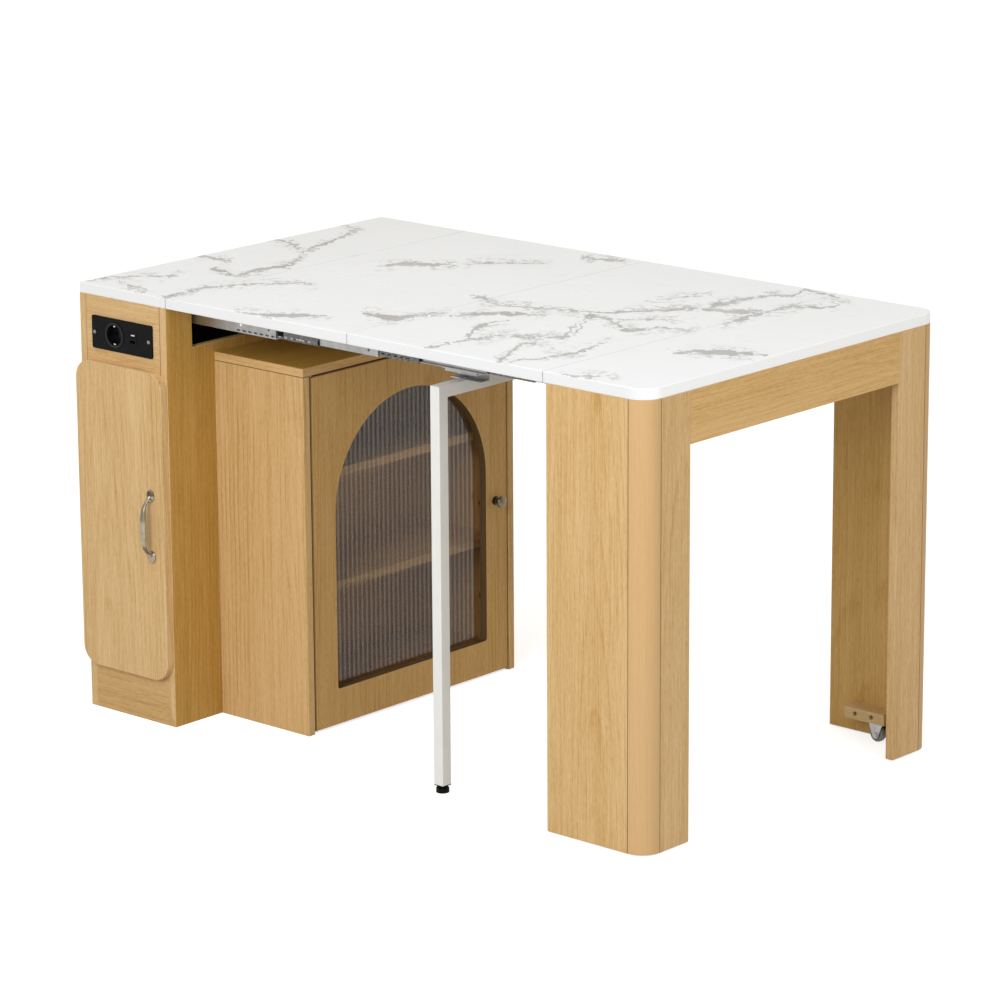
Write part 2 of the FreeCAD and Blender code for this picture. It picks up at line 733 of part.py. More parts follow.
def build_hinges(low, high):
    """Two butt hinges on the tower's left face, their pins upright on the door's back edge."""
    radius = size.hinge_barrel_diameter / 2
    axis_x = -radius - size.hinge_gap
    fixed = new_piece("tower_hinge_fixed_leaves")
    moving = new_piece("tower_hinge_door_leaves")
    starts = (low + size.hinge_inset, high - size.hinge_inset - size.hinge_height)
    third = size.hinge_height / THIRDS
    for start in starts:
        end = start + size.hinge_height
        block(fixed, "leaf", (-size.hinge_leaf, radius, start),
              (ZERO, size.hinge_leaf_width + radius, end))
        block(moving, "leaf", (-size.hinge_leaf, -size.hinge_leaf_width, start),
              (ZERO, -radius, end))
        for foot, top in ((start, start + third - size.hinge_gap), (end - third + size.hinge_gap, end)):
            rod(fixed, "knuckle", (axis_x, ZERO, foot), size.hinge_barrel_diameter, top - foot, "z")
            block(fixed, "web", (-size.hinge_leaf, ZERO, foot), (ZERO, radius, top))
        rod(moving, "knuckle", (axis_x, ZERO, start + third), size.hinge_barrel_diameter, third, "z")
        block(moving, "web", (-size.hinge_leaf, -radius, start + third), (ZERO, ZERO, end - third))
    for start in starts:
        rod(moving, "bore", (axis_x, ZERO, start), size.hinge_pin_diameter + size.hinge_gap * 2,
            size.hinge_height, "z", cut=True)
        rod(fixed, "pin", (axis_x, ZERO, start), size.hinge_pin_diameter, size.hinge_height, "z")


cabinet_end = size.tower_length + size.cabinet_length
cabinet_near = size.cabinet_inset
cabinet_far = size.overall_width - size.cabinet_inset
cabinet_inner_near = cabinet_near + size.board
cabinet_inner_far = cabinet_far - size.board
cabinet_height = under_top - size.slide_room
cabinet_ceiling = cabinet_height - size.board
cabinet_floor = size.cabinet_floor_height + size.board
door_near = cabinet_inner_near + size.cabinet_door_gap
door_far = cabinet_inner_far - size.cabinet_door_gap
door_back = cabinet_end - size.board
door_low = size.cabinet_door_foot
door_high = cabinet_ceiling - size.cabinet_door_gap
pivot_x = cabinet_end - size.pivot_setback
pivot_y = door_near + size.pivot_setback


def shelf_levels():
    """Z of the underside of each shelf in the low cabinet."""
    room = cabinet_ceiling - cabinet_floor - size.board * SHELVES
    return [
        cabinet_floor + room * ((number + 1) / (SHELVES + 1)) + size.board * number
        for number in range(SHELVES)
    ]


def build_low_cabinet():
    """The low cabinet that stands against the tower, open on its door end."""
    start = size.tower_length
    sides = new_piece("cabinet_side_panels")
    for side in SIDES:
        low, high = from_side(side, cabinet_near, cabinet_inner_near)
        block(sides, "%s_side" % side, (start, low, ZERO), (cabinet_end, high, cabinet_ceiling))
    ease(sides, size.board_chamfer)
    top = new_piece("cabinet_top_panel")
    block(top, "blank", (start, cabinet_near, cabinet_ceiling),
          (cabinet_end, cabinet_far, cabinet_height))
    ease(top, size.board_chamfer)
    rod(top, "pivot_hole", (pivot_x, pivot_y, cabinet_ceiling - size.overrun), size.pivot_diameter,
        size.board / 2 + size.overrun, "z", cut=True)
    board_piece("cabinet_floor_board",
                (start + size.liner, cabinet_inner_near, size.cabinet_floor_height),
                (door_back - size.shelf_setback, cabinet_inner_far, cabinet_floor))
    back = new_piece("cabinet_back_panel")
    block(back, "blank", (start, cabinet_inner_near, size.cabinet_floor_height),
          (start + size.liner, cabinet_inner_far, cabinet_ceiling))

    shelves = new_piece("cabinet_shelves")
    shelf_front = door_back - size.shelf_setback
    for level in shelf_levels():
        block(shelves, "shelf", (start + size.liner, cabinet_inner_near, level),
              (shelf_front, cabinet_inner_far, level + size.board))
    ease(shelves, size.board_chamfer)

    pins = new_piece("shelf_pins")
    for level in shelf_levels():
        for place in (start + size.shelf_pin_inset, shelf_front - size.shelf_pin_inset):
            for pin_start in (cabinet_inner_near, cabinet_inner_far - size.shelf_pin_length):
                rod(pins, "pin", (place, pin_start, level - size.shelf_pin_diameter / 2),
                    size.shelf_pin_diameter, size.shelf_pin_length, "y")

    pivots = new_piece("cabinet_door_pivots")
    play = size.pivot_play
    rod(pivots, "upper_pin", (pivot_x, pivot_y, door_high - size.pivot_depth + play),
        size.pivot_diameter, cabinet_ceiling + size.board / 2 - door_high + size.pivot_depth - play, "z")
    plate_low = door_low - play - size.pivot_plate
    block(pivots, "lower_plate",
          (cabinet_end - size.pivot_leaf_depth, cabinet_inner_near, plate_low),
          (cabinet_end - size.pivot_setback / 2, pivot_y + size.pivot_setback, door_low - play))
    block(pivots, "lower_leaf",
          (cabinet_end - size.pivot_leaf_depth, cabinet_inner_near, plate_low),
          (door_back - size.pane_thickness * 2, cabinet_inner_near + size.pivot_plate,
           plate_low + size.pivot_leaf_height))
    rod(pivots, "lower_pin", (pivot_x, pivot_y, door_low - play), size.pivot_diameter,
        size.pivot_depth, "z")


arch_near = door_near + size.arch_side
arch_far = door_far - size.arch_side
arch_low = door_low + size.arch_foot
arch_high = door_high - size.arch_head
arch_radius = (arch_far - arch_near) / 2
arch_centre = (arch_far + arch_near) / 2
arch_spring = arch_high - arch_radius


def draw_arch(sketch, near, far, low, spring, radius):
    """An arched outline: a straight foot, two upright sides and a half-round head."""
    centre = (near + far) / 2
    head = FreeCAD.Vector(centre.number, spring.number, 0)
    circle = Part.Circle(head, FreeCAD.Vector(0, 0, 1), radius.number)
    sketch.addGeometry(Part.ArcOfCircle(circle, 0, math.pi))
    corners = [(near, spring), (near, low), (far, low), (far, spring)]
    spots = [FreeCAD.Vector(across.number, up.number, 0) for across, up in corners]
    for index in range(len(spots) - 1):
        sketch.addGeometry(Part.LineSegment(spots[index], spots[index + 1]))
    join_ends(sketch, ((0, 2, 1, 1), (1, 2, 2, 1), (2, 2, 3, 1), (3, 2, 0, 1)))
    for index in (1, 3):
        sketch.addConstraint(Sketcher.Constraint("Vertical", index))
    tie_point(sketch, 2, 1, near, low)
    tie_point(sketch, 2, 2, far, low)
    tie_point(sketch, 0, 3, centre, spring)
    sketch.addConstraint(Sketcher.Constraint("Tangent", 0, 1))


# Up the arched opening, where the pane's clips sit.
CLIP_LEVEL_SHARES = (0.16, 0.5, 0.84)


def build_cabinet_door():
    """The inset door of the low cabinet: arched board, fluted pane, clips and knob."""
    frame = new_piece("cabinet_door_frame")
    block(frame, "blank", (door_back, door_near, door_low), (cabinet_end, door_far, door_high))
    ease(frame, size.board_chamfer)
    sketch = sketch_on(frame, "arch_outline", "YZ_Plane", cabinet_end + size.overrun)
    draw_arch(sketch, arch_near, arch_far, arch_low, arch_spring, arch_radius)
    pocket = frame.newObject("PartDesign::Pocket", "arched_opening")
    pocket.Profile = sketch
    pocket.setExpression("Length", (size.board + size.overrun * 2).formula)
    corners = [(place.number, arch_low.number) for place in (arch_near, arch_far)]
    round_edges(frame, "x", size.arch_corner, corners)
    bore = size.pivot_diameter + size.pivot_play * 2
    for start in (door_low - size.overrun, door_high - size.pivot_depth):
        rod(frame, "pivot_bore", (pivot_x, pivot_y, start), bore,
            size.pivot_depth + size.overrun, "z", cut=True)

    pane = new_piece("fluted_glass")
    pane_front = door_back
    pane_back = pane_front - size.pane_thickness
    pane_near, pane_far = arch_near - size.pane_lap, arch_far + size.pane_lap
    pane_low, pane_high = arch_low - size.pane_lap, arch_high + size.pane_lap
    flat_back = pane_back - size.flute_rise
    block(pane, "sheet", (pane_back, pane_near, pane_low), (pane_front, pane_far, pane_high))
    document.recompute()
    flute = sketch_on(pane, "flute_section", "XY_Plane", pane_low)
    first_y = pane_near + size.flute_pitch / 2
    draw_flute(flute, pane_back, first_y, flat_back)
    ridge = pad(pane, flute, pane_high - pane_low)
    document.recompute()
    count = int((pane_far - pane_near).number // size.flute_pitch.number)
    repeat(pane, [ridge], "Y_Axis", size.flute_pitch, count)

    clips = new_piece("glass_clips")
    inner = flat_back - size.running_gap
    for share in CLIP_LEVEL_SHARES:
        level = arch_low + (arch_high - arch_low) * share
        for edge, way in ((pane_near, -1), (pane_far, 1)):
            outer = edge + size.glass_clip_length / 2 * way
            reach = edge - size.glass_clip_length / 2 * way
            low, high = (outer, reach) if way < 0 else (reach, outer)
            block(clips, "clip",
                  (inner - size.glass_clip_thickness, low, level - size.glass_clip_width / 2),
                  (inner, high, level + size.glass_clip_width / 2))
            foot = edge + size.running_gap * way
            low, high = (outer, foot) if way < 0 else (foot, outer)
            block(clips, "clip_foot", (inner, low, level - size.glass_clip_width / 2),
                  (door_back, high, level + size.glass_clip_width / 2))

    knob = new_piece("door_knob")
    sketch = sketch_on(knob, "knob_profile", "XZ_Plane", -(door_far - size.knob_side))
    draw_knob(sketch)
    document.recompute()
    revolve = knob.newObject("PartDesign::Revolution", "turned_knob")
    revolve.Profile = sketch
    revolve.ReferenceAxis = (sketch, ["Axis0"])
    revolve.Angle = 2 * HALF_TURN_DEGREES


def draw_flute(sketch, back, middle, crest):
    """One flute of the pane: a shallow round ridge on its back face."""
    half = size.flute_pitch / 2
    across = back.number
    ends = [FreeCAD.Vector(across, place.number, 0) for place in (middle + half, middle - half)]
    crown = FreeCAD.Vector(crest.number, middle.number, 0)
    sketch.addGeometry(Part.Arc(ends[0], crown, ends[1]))
    sketch.addGeometry(Part.LineSegment(ends[1], ends[0]))
    join_ends(sketch, ((0, 2, 1, 1), (1, 2, 0, 1)))
    tie_point(sketch, 1, 1, back, middle - half)
    tie_point(sketch, 1, 2, back, middle + half)
    radius = (half.number ** 2 + size.flute_rise.number ** 2) / (2 * size.flute_rise.number)
    index = sketch.addConstraint(Sketcher.Constraint("Radius", 0, radius))
    formula = "((Sizes.flute_pitch / 2)^2 + Sizes.flute_rise^2) / (2 * Sizes.flute_rise)"
    sketch.setExpression("Constraints[%d]" % index, formula)


# From the knob's rosette to its crown: reach from the door, and radius.
KNOB_OUTLINE_SHARES = [
    (0.0, 0.74), (0.12, 0.74), (0.20, 0.30), (0.46, 0.30),
    (0.58, 0.78), (0.74, 1.0), (0.90, 0.94), (1.0, 0.55),
]


def draw_knob(sketch):
    """Half the knob's outline, and the line it turns round, a little over the door's middle."""
    level = (door_low + door_high) / 2 + size.knob_rise
    radius = size.knob_diameter / 2
    crown = cabinet_end + size.knob_reach
    corners = [(cabinet_end, level)]
    for reach_share, radius_share in KNOB_OUTLINE_SHARES:
        corners.append((cabinet_end + size.knob_reach * reach_share, level + radius * radius_share))
    corners.append((crown, level))
    draw_outline(sketch, corners)
    ends = [FreeCAD.Vector(across.number, level.number, 0) for across in (cabinet_end, crown)]
    line = sketch.addGeometry(Part.LineSegment(*ends), True)
    tie_point(sketch, line, 1, cabinet_end, level)
    tie_point(sketch, line, 2, crown, level)


closed_length = size.tower_length + size.end_length
slide_length = closed_length - size.board - size.slide_end_gap - size.slide_start
second_stroke = size.leaf_length - size.first_stroke
slide_middle = under_top - size.running_gap - size.channel_height / 2
rear_middle = under_top - size.running_gap - size.rear_channel_height / 2
slide_back = size.slide_inset + size.channel_depth
rear_back = slide_back + size.rear_channel_depth


def draw_channel(sketch, side, web, mouth, middle, height, lip):
    """A channel's section: its web, two flanges and, where lip isn't zero, two lips at its mouth."""
    wall = size.steel if mouth.number > web.number else -size.steel
    low, high = middle - height / 2, middle + height / 2
    corners = [(web, low), (mouth, low)]
    if abs(lip.number) > FINE:
        corners += [(mouth, low + lip), (mouth - wall, low + lip), (mouth - wall, low + size.steel)]
    else:
        corners += [(mouth, low + size.steel)]
    corners += [(web + wall, low + size.steel), (web + wall, high - size.steel)]
    if abs(lip.number) > FINE:
        corners += [(mouth - wall, high - size.steel), (mouth - wall, high - lip), (mouth, high - lip)]
    else:
        corners += [(mouth, high - size.steel)]
    corners += [(mouth, high), (web, high)]
    if side == "far":
        corners = [(size.overall_width - across, up) for across, up in corners]
    draw_outline(sketch, corners)


def channel_pair(name, start, web, mouth, middle, height, lip=ZERO):
    """The near and the far channel of one stage."""
    body = new_piece(name)
    for side in SIDES:
        sketch = sketch_on(body, "%s_section" % side, "YZ_Plane", start)
        draw_channel(sketch, side, web, mouth, middle, height, lip)
        pad(body, sketch, slide_length)
    return body


def cage_pair(name, start, web, mouth, middle, height):
    """The near and the far ball cage of one stage: thin channels with windows for the balls.

    The web has two rows of slots, each halfway between two balls.
    """
    body = new_piece(name)
    wall = size.cage_thickness
    low, high = middle - height / 2, middle + height / 2
    for side in SIDES:
        corners = [
            (web, low), (mouth, low), (mouth, low + wall), (web + wall, low + wall),
            (web + wall, high - wall), (mouth, high - wall), (mouth, high), (web, high),
        ]
        if side == "far":
            corners = [(size.overall_width - across, up) for across, up in corners]
        sketch = sketch_on(body, "%s_section" % side, "YZ_Plane", start)
        draw_outline(sketch, corners)
        pad(body, sketch, size.cage_length)
    first = start + size.cage_pitch - size.cage_window / 2
    slot = start + size.cage_pitch / 2 - size.cage_slot / 2
    margin, tall = size.cage_slot_margin, size.cage_slot_height
    windows = []
    for side in SIDES:
        low_y, high_y = from_side(side, web + wall * 2, mouth - wall * 2)
        windows.append(block(body, "%s_window" % side, (first, low_y, low - size.overrun),
                             (first + size.cage_window, high_y, high + size.overrun), cut=True))
        low_y, high_y = from_side(side, web - wall, web + wall * 2)
        for foot in (low + margin, high - margin - tall):
            windows.append(block(body, "%s_slot" % side, (slot, low_y, foot),
                                 (slot + size.cage_slot, high_y, foot + tall), cut=True))
    document.recompute()
    count = int(size.cage_length.number // size.cage_pitch.number) - 1
    repeat(body, windows, "X_Axis", size.cage_pitch, count)
    return body


def build_telescope(names, start, web, middle, heights, depth, strokes, overlaps):
    """One telescope: an outer channel, a running channel and a reversed inner channel, with cages.

    Each channel's web clears the one outside it by a ball cage and a running gap on both sides.
    """
    outer_name, outer_cage, running_name, running_cage, inner_name = names
    outer_height, running_height, inner_height = heights
    gap = size.running_gap
    step = size.steel + size.cage_thickness + gap * 2
    mouth = web + depth
    outer_mouth = mouth - gap
    running_web = web + step
    running_mouth = mouth - step - gap
    running_start = start + strokes[0]
    inner_start = running_start + strokes[1]
    outer = channel_pair(outer_name, start, web, outer_mouth, middle, outer_height, size.lip)
    if start is size.slide_start:
        punch_rail(outer, web, middle)
    cage_pair(outer_cage, start + slide_length - overlaps[0], web + size.steel + gap,
              outer_mouth - size.steel - gap, middle, running_height + size.race + size.cage_thickness)
    channel_pair(running_name, running_start, running_web, running_mouth, middle, running_height)
    cage_pair(running_cage, running_start + slide_length - overlaps[1],
              running_web + size.steel + gap, running_mouth - gap, middle,
              inner_height + size.race + size.cage_thickness)
    channel_pair(inner_name, inner_start, mouth, running_web + step, middle, inner_height)
    return inner_start


def punch_rail(body, web, middle):
    """A row of slots along the lower and the upper edge of the fixed channels, at their right end."""
    cage_start = size.slide_start + slide_length - size.first_cage_overlap
    first = cage_start + size.cage_pitch / 2 - size.rail_slot / 2
    half = size.channel_height / 2
    margin, tall = size.rail_slot_margin, size.rail_slot_height
    slots = []
    for side in SIDES:
        low_y, high_y = from_side(side, web - size.steel, web + size.steel * 2)
        for foot in (middle - half + margin, middle + half - margin - tall):
            slots.append(block(body, "%s_slot" % side, (first, low_y, foot),
                               (first + size.rail_slot, high_y, foot + tall), cut=True))
    document.recompute()
    count = int(size.first_cage_overlap.number // size.cage_pitch.number)
    repeat(body, slots, "X_Axis", size.cage_pitch, count)


def build_slides():
    """A near and a far slide, each of two telescopes back to back."""
    nest = (size.steel + size.race) * 2
    overlaps = (size.first_cage_overlap, size.second_cage_overlap)
    heights = [size.channel_height - nest * number for number in range(3)]
    centre_start = build_telescope(
        ("slide_fixed_channels", "slide_first_cages", "slide_first_channels",
         "slide_centre_cages", "slide_centre_channels"),
        size.slide_start, size.slide_inset, slide_middle, heights, size.channel_depth,
        (size.first_stroke, size.first_stroke), overlaps)
    heights = [size.rear_channel_height - nest * number for number in range(3)]
    build_telescope(
        ("slide_rear_outer_channels", "slide_rear_cages", "slide_rear_channels",
         "slide_end_cages", "slide_end_channels"),
        centre_start, slide_back, rear_middle, heights, size.rear_channel_depth,
        (second_stroke, second_stroke), overlaps)


def build_support():
    """The white steel leg: post, cross arm, glide and the brackets to the centre channels."""
    arm_top = under_top - size.arm_drop
    arm_low = arm_top - size.tube
    centre_end = size.slide_start + size.first_stroke * 2 + slide_length
    left = centre_end - size.post_reach
    right = left + size.tube
    near, far = size.post_inset, size.post_inset + size.tube
    wall = size.tube_wall

    post = new_piece("support_post")
    block(post, "tube", (left, near, size.glide_height), (right, far, arm_top))
    block(post, "hollow", (left + wall, near + wall, size.glide_height - size.overrun),
          (right - wall, far - wall, arm_top - wall), cut=True)

    arm = new_piece("support_arm")
    arm_far = size.overall_width - size.slide_inset
    block(arm, "tube", (left, far, arm_low), (right, arm_far, arm_top))
    block(arm, "hollow", (left + wall, far - size.overrun, arm_low + wall),
          (right - wall, arm_far - wall, arm_top - wall), cut=True)

    foot = new_piece("support_glide")
    centre_x = left + size.tube / 2
    centre_y = near + size.tube / 2
    rod(foot, "pad", (centre_x, centre_y, ZERO), size.glide_diameter, size.glide_pad_height, "z")
    rod(foot, "neck", (centre_x, centre_y, size.glide_pad_height), size.glide_neck_diameter,
        size.glide_height - size.glide_pad_height, "z")
    plug = (size.tube - wall * 2) / 2 - size.running_gap
    block(foot, "plug", (centre_x - plug, centre_y - plug, size.glide_height),
          (centre_x + plug, centre_y + plug, size.glide_height + size.glide_plug_height))
    block(foot, "collar", (left, near, size.glide_height - size.bracket_steel),
          (right, far, size.glide_height))

    brackets = new_piece("slide_brackets")
    steel = size.bracket_steel
    lip_front = slide_back + size.running_gap * 2
    riser = rear_back - size.running_gap * 3
    back = riser + size.bracket_depth
    front = back - size.bracket_flange
    top = rear_middle - size.rear_channel_height / 2
    shelf = arm_top + size.bracket_height
    corners = [
        (lip_front, top), (riser, top), (riser, shelf), (back, shelf), (back, arm_top),
        (front, arm_top), (front, arm_top + steel), (back - steel, arm_top + steel),
        (back - steel, shelf - steel), (riser - steel, shelf - steel), (riser - steel, top - steel),
        (lip_front, top - steel),
    ]
    for side in SIDES:
        placed = corners
        if side == "far":
            placed = [(size.overall_width - across, up) for across, up in corners]
        sketch = sketch_on(brackets, "%s_section" % side, "YZ_Plane",
                           left - size.bracket_overhang)
        draw_outline(sketch, placed)
        pad(brackets, sketch, size.bracket_length)


end_seam = end_face - size.end_length
leg_start = end_seam + size.leg_setback
post_start = end_face - size.corner_radius


def build_leaves():
    """The two loose leaves of the worktop."""
    for number, name in enumerate(("second_leaf", "third_leaf")):
        start = size.tower_length + size.leaf_length * number
        board_piece(name, (start + size.seam / 2, ZERO, under_top),
                    (start + size.leaf_length - size.seam / 2, size.overall_width, size.overall_height),
                    size.top_chamfer)


def draw_quarter(sketch, centre_x, centre_y, outer, inner, way):
    """A quarter ring about a centre: the section of a rounded corner post."""
    axis = FreeCAD.Vector(0, 0, 1)
    centre = FreeCAD.Vector(centre_x.number, centre_y.number, 0)
    start = -math.pi / 2 if way < 0 else 0
    for radius in (outer, inner):
        circle = Part.Circle(centre, axis, radius.number)
        sketch.addGeometry(Part.ArcOfCircle(circle, start, start + math.pi / 2))
    across = [FreeCAD.Vector((centre_x + reach).number, centre_y.number, 0) for reach in (outer, inner)]
    along = [FreeCAD.Vector(centre_x.number, (centre_y + reach * way).number, 0) for reach in (outer, inner)]
    for spots in (across, along):
        sketch.addGeometry(Part.LineSegment(*spots))
    on_across, on_along = (2, 1) if way < 0 else (1, 2)
    join_ends(sketch, ((2, 1, 0, on_across), (2, 2, 1, on_across), (3, 1, 0, on_along), (3, 2, 1, on_along)))
    tie_point(sketch, 0, 3, centre_x, centre_y)
    sketch.addConstraint(Sketcher.Constraint("Coincident", 0, 3, 1, 3))
    tie_radius(sketch, 0, outer)
    tie_radius(sketch, 1, inner)
    for line_end in (1, 2):
        tie_up(sketch, 2, line_end, centre_y)
        tie_across(sketch, 3, line_end, centre_x)


def build_end_frame():
    """The rolling end frame: end board, two legs with rounded corners, apron and slide battens."""
    top = new_piece("end_top")
    block(top, "blank", (end_seam + size.seam / 2, ZERO, under_top),
          (end_face, size.overall_width, size.overall_height))
    corners = [(end_face.number, 0), (end_face.number, size.overall_width.number)]
    round_edges(top, "z", size.corner_radius, corners)
    ease(top, size.top_chamfer)

    radius = size.corner_radius
    sides = new_piece("leg_side_panels")
    for side in SIDES:
        low, high = from_side(side, ZERO, size.board)
        block(sides, "%s_side" % side, (leg_start, low, size.leg_clearance),
              (post_start, high, under_top))
    ease(sides, size.board_chamfer)
    posts = new_piece("leg_corner_posts")
    for side, way in (("near", -1), ("far", 1)):
        sketch = sketch_on(posts, "%s_section" % side, "XY_Plane", size.leg_clearance)
        centre_y = from_side(side, radius, radius)[0]
        draw_quarter(sketch, post_start, centre_y, radius, radius - size.board, way)
        pad(posts, sketch, under_top - size.leg_clearance)
    ease(posts, size.board_chamfer)
    returns = new_piece("leg_return_panels")
    for side in SIDES:
        low, high = from_side(side, radius, size.leg_width)
        block(returns, "%s_return" % side, (end_face - size.board, low, size.leg_clearance),
              (end_face, high, under_top))
    ease(returns, size.board_chamfer)
    board_piece("apron", (end_face - size.board, size.leg_width, under_top - size.apron_height),
                (end_face, size.overall_width - size.leg_width, under_top))

    battens = new_piece("end_slide_battens")
    for side in SIDES:
        low, high = from_side(side, rear_back, rear_back + size.batten_width)
        block(battens, "%s_batten" % side,
              (leg_start, low, under_top - size.batten_height), (end_face - size.board, high, under_top))


def caster_places():
    """X of the two blocks' ends, of their screw holes and of their wheels, near and far.

    The near block stands close to the corner post, because the support post stops just left
    of it when the island is closed.
    """
    near_start = end_face - size.near_block_start
    near_middle = near_start + size.near_block_length / 2
    far_start = end_face - size.far_block_start
    far_middle = far_start + size.far_block_length / 2
    ends = {
        "near": (near_start, near_start + size.near_block_length),
        "far": (far_start, far_start + size.far_block_length),
    }
    bores = {
        "near": [near_middle + size.near_bore_spacing / 2 * way for way in (-1, 1)],
        "far": [far_middle - size.far_bore_offset + size.far_bore_spacing / 2 * way for way in (-1, 1)],
    }
    wheels = {"near": near_middle, "far": far_middle + size.far_wheel_offset}
    return ends, bores, wheels


def build_casters():
    """The wooden caster blocks inside the legs, with their forks, axles and wheels."""
    ends, bores, wheels = caster_places()
    blocks = new_piece("caster_blocks")
    for side in SIDES:
        low, high = from_side(side, size.board, size.board + size.block_depth)
        block(blocks, "%s_block" % side, (ends[side][0], low, size.block_lift),
              (ends[side][1], high, size.block_lift + size.block_height))
    for side in SIDES:
        low, high = from_side(side, size.board, size.board + size.block_depth)
        for place in bores[side]:
            rod(blocks, "screw_hole",
                (place, low - size.overrun, size.block_lift + size.block_height / 2),
                size.block_bore, size.block_depth + size.overrun * 2, "y", cut=True)

    axle_level = size.wheel_diameter / 2
    cheek_gap = size.wheel_hub_width / 2 + size.wheel_play
    forks = new_piece("caster_forks")
    axles = new_piece("caster_axles")
    across = size.board + size.block_depth / 2
    places = [(side, wheels[side], from_side(side, across, across)[0]) for side in SIDES]
    for _, middle, centre in places:
        block(forks, "plate",
              (middle - size.fork_length / 2, centre - cheek_gap - size.fork_steel,
               size.block_lift - size.fork_steel),
              (middle + size.fork_length / 2, centre + cheek_gap + size.fork_steel, size.block_lift))
        for start in (centre + cheek_gap, centre - cheek_gap - size.fork_steel):
            sketch = sketch_on(forks, "cheek_outline", "XZ_Plane", -(start + size.fork_steel))
            draw_cheek(sketch, middle, axle_level)
            pad(forks, sketch, size.fork_steel)
        start = centre - cheek_gap - size.fork_steel
        rod(axles, "axle", (middle, start, axle_level), size.axle_diameter,
            (cheek_gap + size.fork_steel) * 2, "y")
        for head in (start - size.axle_head, centre + cheek_gap + size.fork_steel):
            rod(axles, "head", (middle, head, axle_level), size.axle_head_diameter,
                size.axle_head, "y")
    for _, middle, centre in places:
        rod(forks, "axle_hole", (middle, centre - cheek_gap - size.fork_steel * 2, axle_level),
            size.axle_diameter, (cheek_gap + size.fork_steel * 2) * 2, "y", cut=True)

    for side, middle, centre in places:
        wheel = new_piece("%s_caster_wheel" % side)
        rod(wheel, "tread", (middle, centre - size.wheel_width / 2, axle_level),
            size.wheel_diameter, size.wheel_width, "y")
        ease(wheel, size.wheel_chamfer)
        rod(wheel, "hub", (middle, centre - size.wheel_hub_width / 2, axle_level),
            size.fork_boss * 2, size.wheel_hub_width, "y")
        rod(wheel, "bore", (middle, centre - size.wheel_width, axle_level),
            size.axle_diameter + size.axle_play * 2, size.wheel_width * 2, "y", cut=True)


def draw_cheek(sketch, middle, axle_level):
    """A fork's cheek: straight at its plate, tapering to a round end about the axle."""
    boss = size.fork_boss
    half = size.fork_length / 2
    top = size.block_lift - size.fork_steel
    axis = FreeCAD.Vector(0, 0, 1)
    centre = FreeCAD.Vector(middle.number, axle_level.number, 0)
    circle = Part.Circle(centre, axis, boss.number)
    sketch.addGeometry(Part.ArcOfCircle(circle, math.pi, 2 * math.pi))
    corners = [(middle + boss, axle_level), (middle + half, top), (middle - half, top),
               (middle - boss, axle_level)]
    spots = [FreeCAD.Vector(across.number, up.number, 0) for across, up in corners]
    for index in range(len(spots) - 1):
        sketch.addGeometry(Part.LineSegment(spots[index], spots[index + 1]))
    join_ends(sketch, ((0, 2, 1, 1), (1, 2, 2, 1), (2, 2, 3, 1), (3, 2, 0, 1)))
    tie_point(sketch, 0, 3, middle, axle_level)
    for line, (across, up) in enumerate(corners[:-1], start=1):
        tie_point(sketch, line, 1, across, up)
    tie_up(sketch, 0, 1, axle_level)


def check_and_write():
    """Stop on a failed feature or a bad solid, then write one file for each piece."""
    document.recompute()
    for item in document.Objects:
        bad = [state for state in item.State if state in ("Invalid", "Error")]
        if bad:
            raise RuntimeError("%s (%s) failed: %s" % (item.Label, item.Name, bad))
    os.makedirs("parts", exist_ok=True)
    for body in pieces:
        shape = body.Shape
        if shape.isNull() or not shape.isValid():
            raise RuntimeError("%s has no valid solid" % body.Label)
        print("%-28s solids %d volume %.0f" % (body.Label, len(shape.Solids), shape.Volume))
        shape.exportStep("parts/%s.step" % body.Label)


build_tower()
build_socket()
build_tower_door()
build_low_cabinet()
build_cabinet_door()
build_slides()
build_support()
build_leaves()
build_end_frame()
build_casters()
check_and_write()
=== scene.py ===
"""Looks of the extending kitchen island: finishes, small fittings, camera and light.

The island stands pulled out. X runs along the extension, from the fixed tower to the rolling
end frame, Y from the near long side to the far one, and Z is up from the floor. Sizes in the
classes below are in millimetres from the tower's near left corner on the floor, as a maker
would measure them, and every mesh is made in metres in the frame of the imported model.
"""
import logging
import math
from dataclasses import dataclass, field, replace
from enum import Enum
from functools import cache, partialmethod
from itertools import product
from typing import Optional, Sequence, Union

import bmesh
import bpy
import numpy as np
from mathutils import Euler, Matrix, Vector


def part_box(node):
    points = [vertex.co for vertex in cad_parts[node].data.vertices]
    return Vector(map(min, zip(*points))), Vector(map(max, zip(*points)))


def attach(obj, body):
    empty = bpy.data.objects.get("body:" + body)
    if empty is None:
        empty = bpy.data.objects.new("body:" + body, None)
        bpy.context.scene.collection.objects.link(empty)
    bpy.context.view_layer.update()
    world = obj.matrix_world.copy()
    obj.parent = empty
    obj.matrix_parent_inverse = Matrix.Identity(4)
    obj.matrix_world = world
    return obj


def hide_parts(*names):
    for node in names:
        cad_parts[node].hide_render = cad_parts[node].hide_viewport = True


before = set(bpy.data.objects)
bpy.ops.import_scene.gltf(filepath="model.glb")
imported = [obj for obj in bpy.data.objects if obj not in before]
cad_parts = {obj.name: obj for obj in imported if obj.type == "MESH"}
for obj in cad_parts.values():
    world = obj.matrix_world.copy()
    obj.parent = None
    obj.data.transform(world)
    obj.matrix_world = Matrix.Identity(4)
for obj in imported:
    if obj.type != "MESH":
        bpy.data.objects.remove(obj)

LOG = logging.getLogger("island")
MM = 0.001
CORNER = np.array(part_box("tower_left_panel")[0], float)
WORKTOP_WIDTH = 900.0
SEEDS, SEED_STEP = 89, 1.37  # of the boards' grain
Socket = bpy.types.NodeSocket
Value = Union[Socket, float, Sequence[float]]
Pair = tuple[float, float]
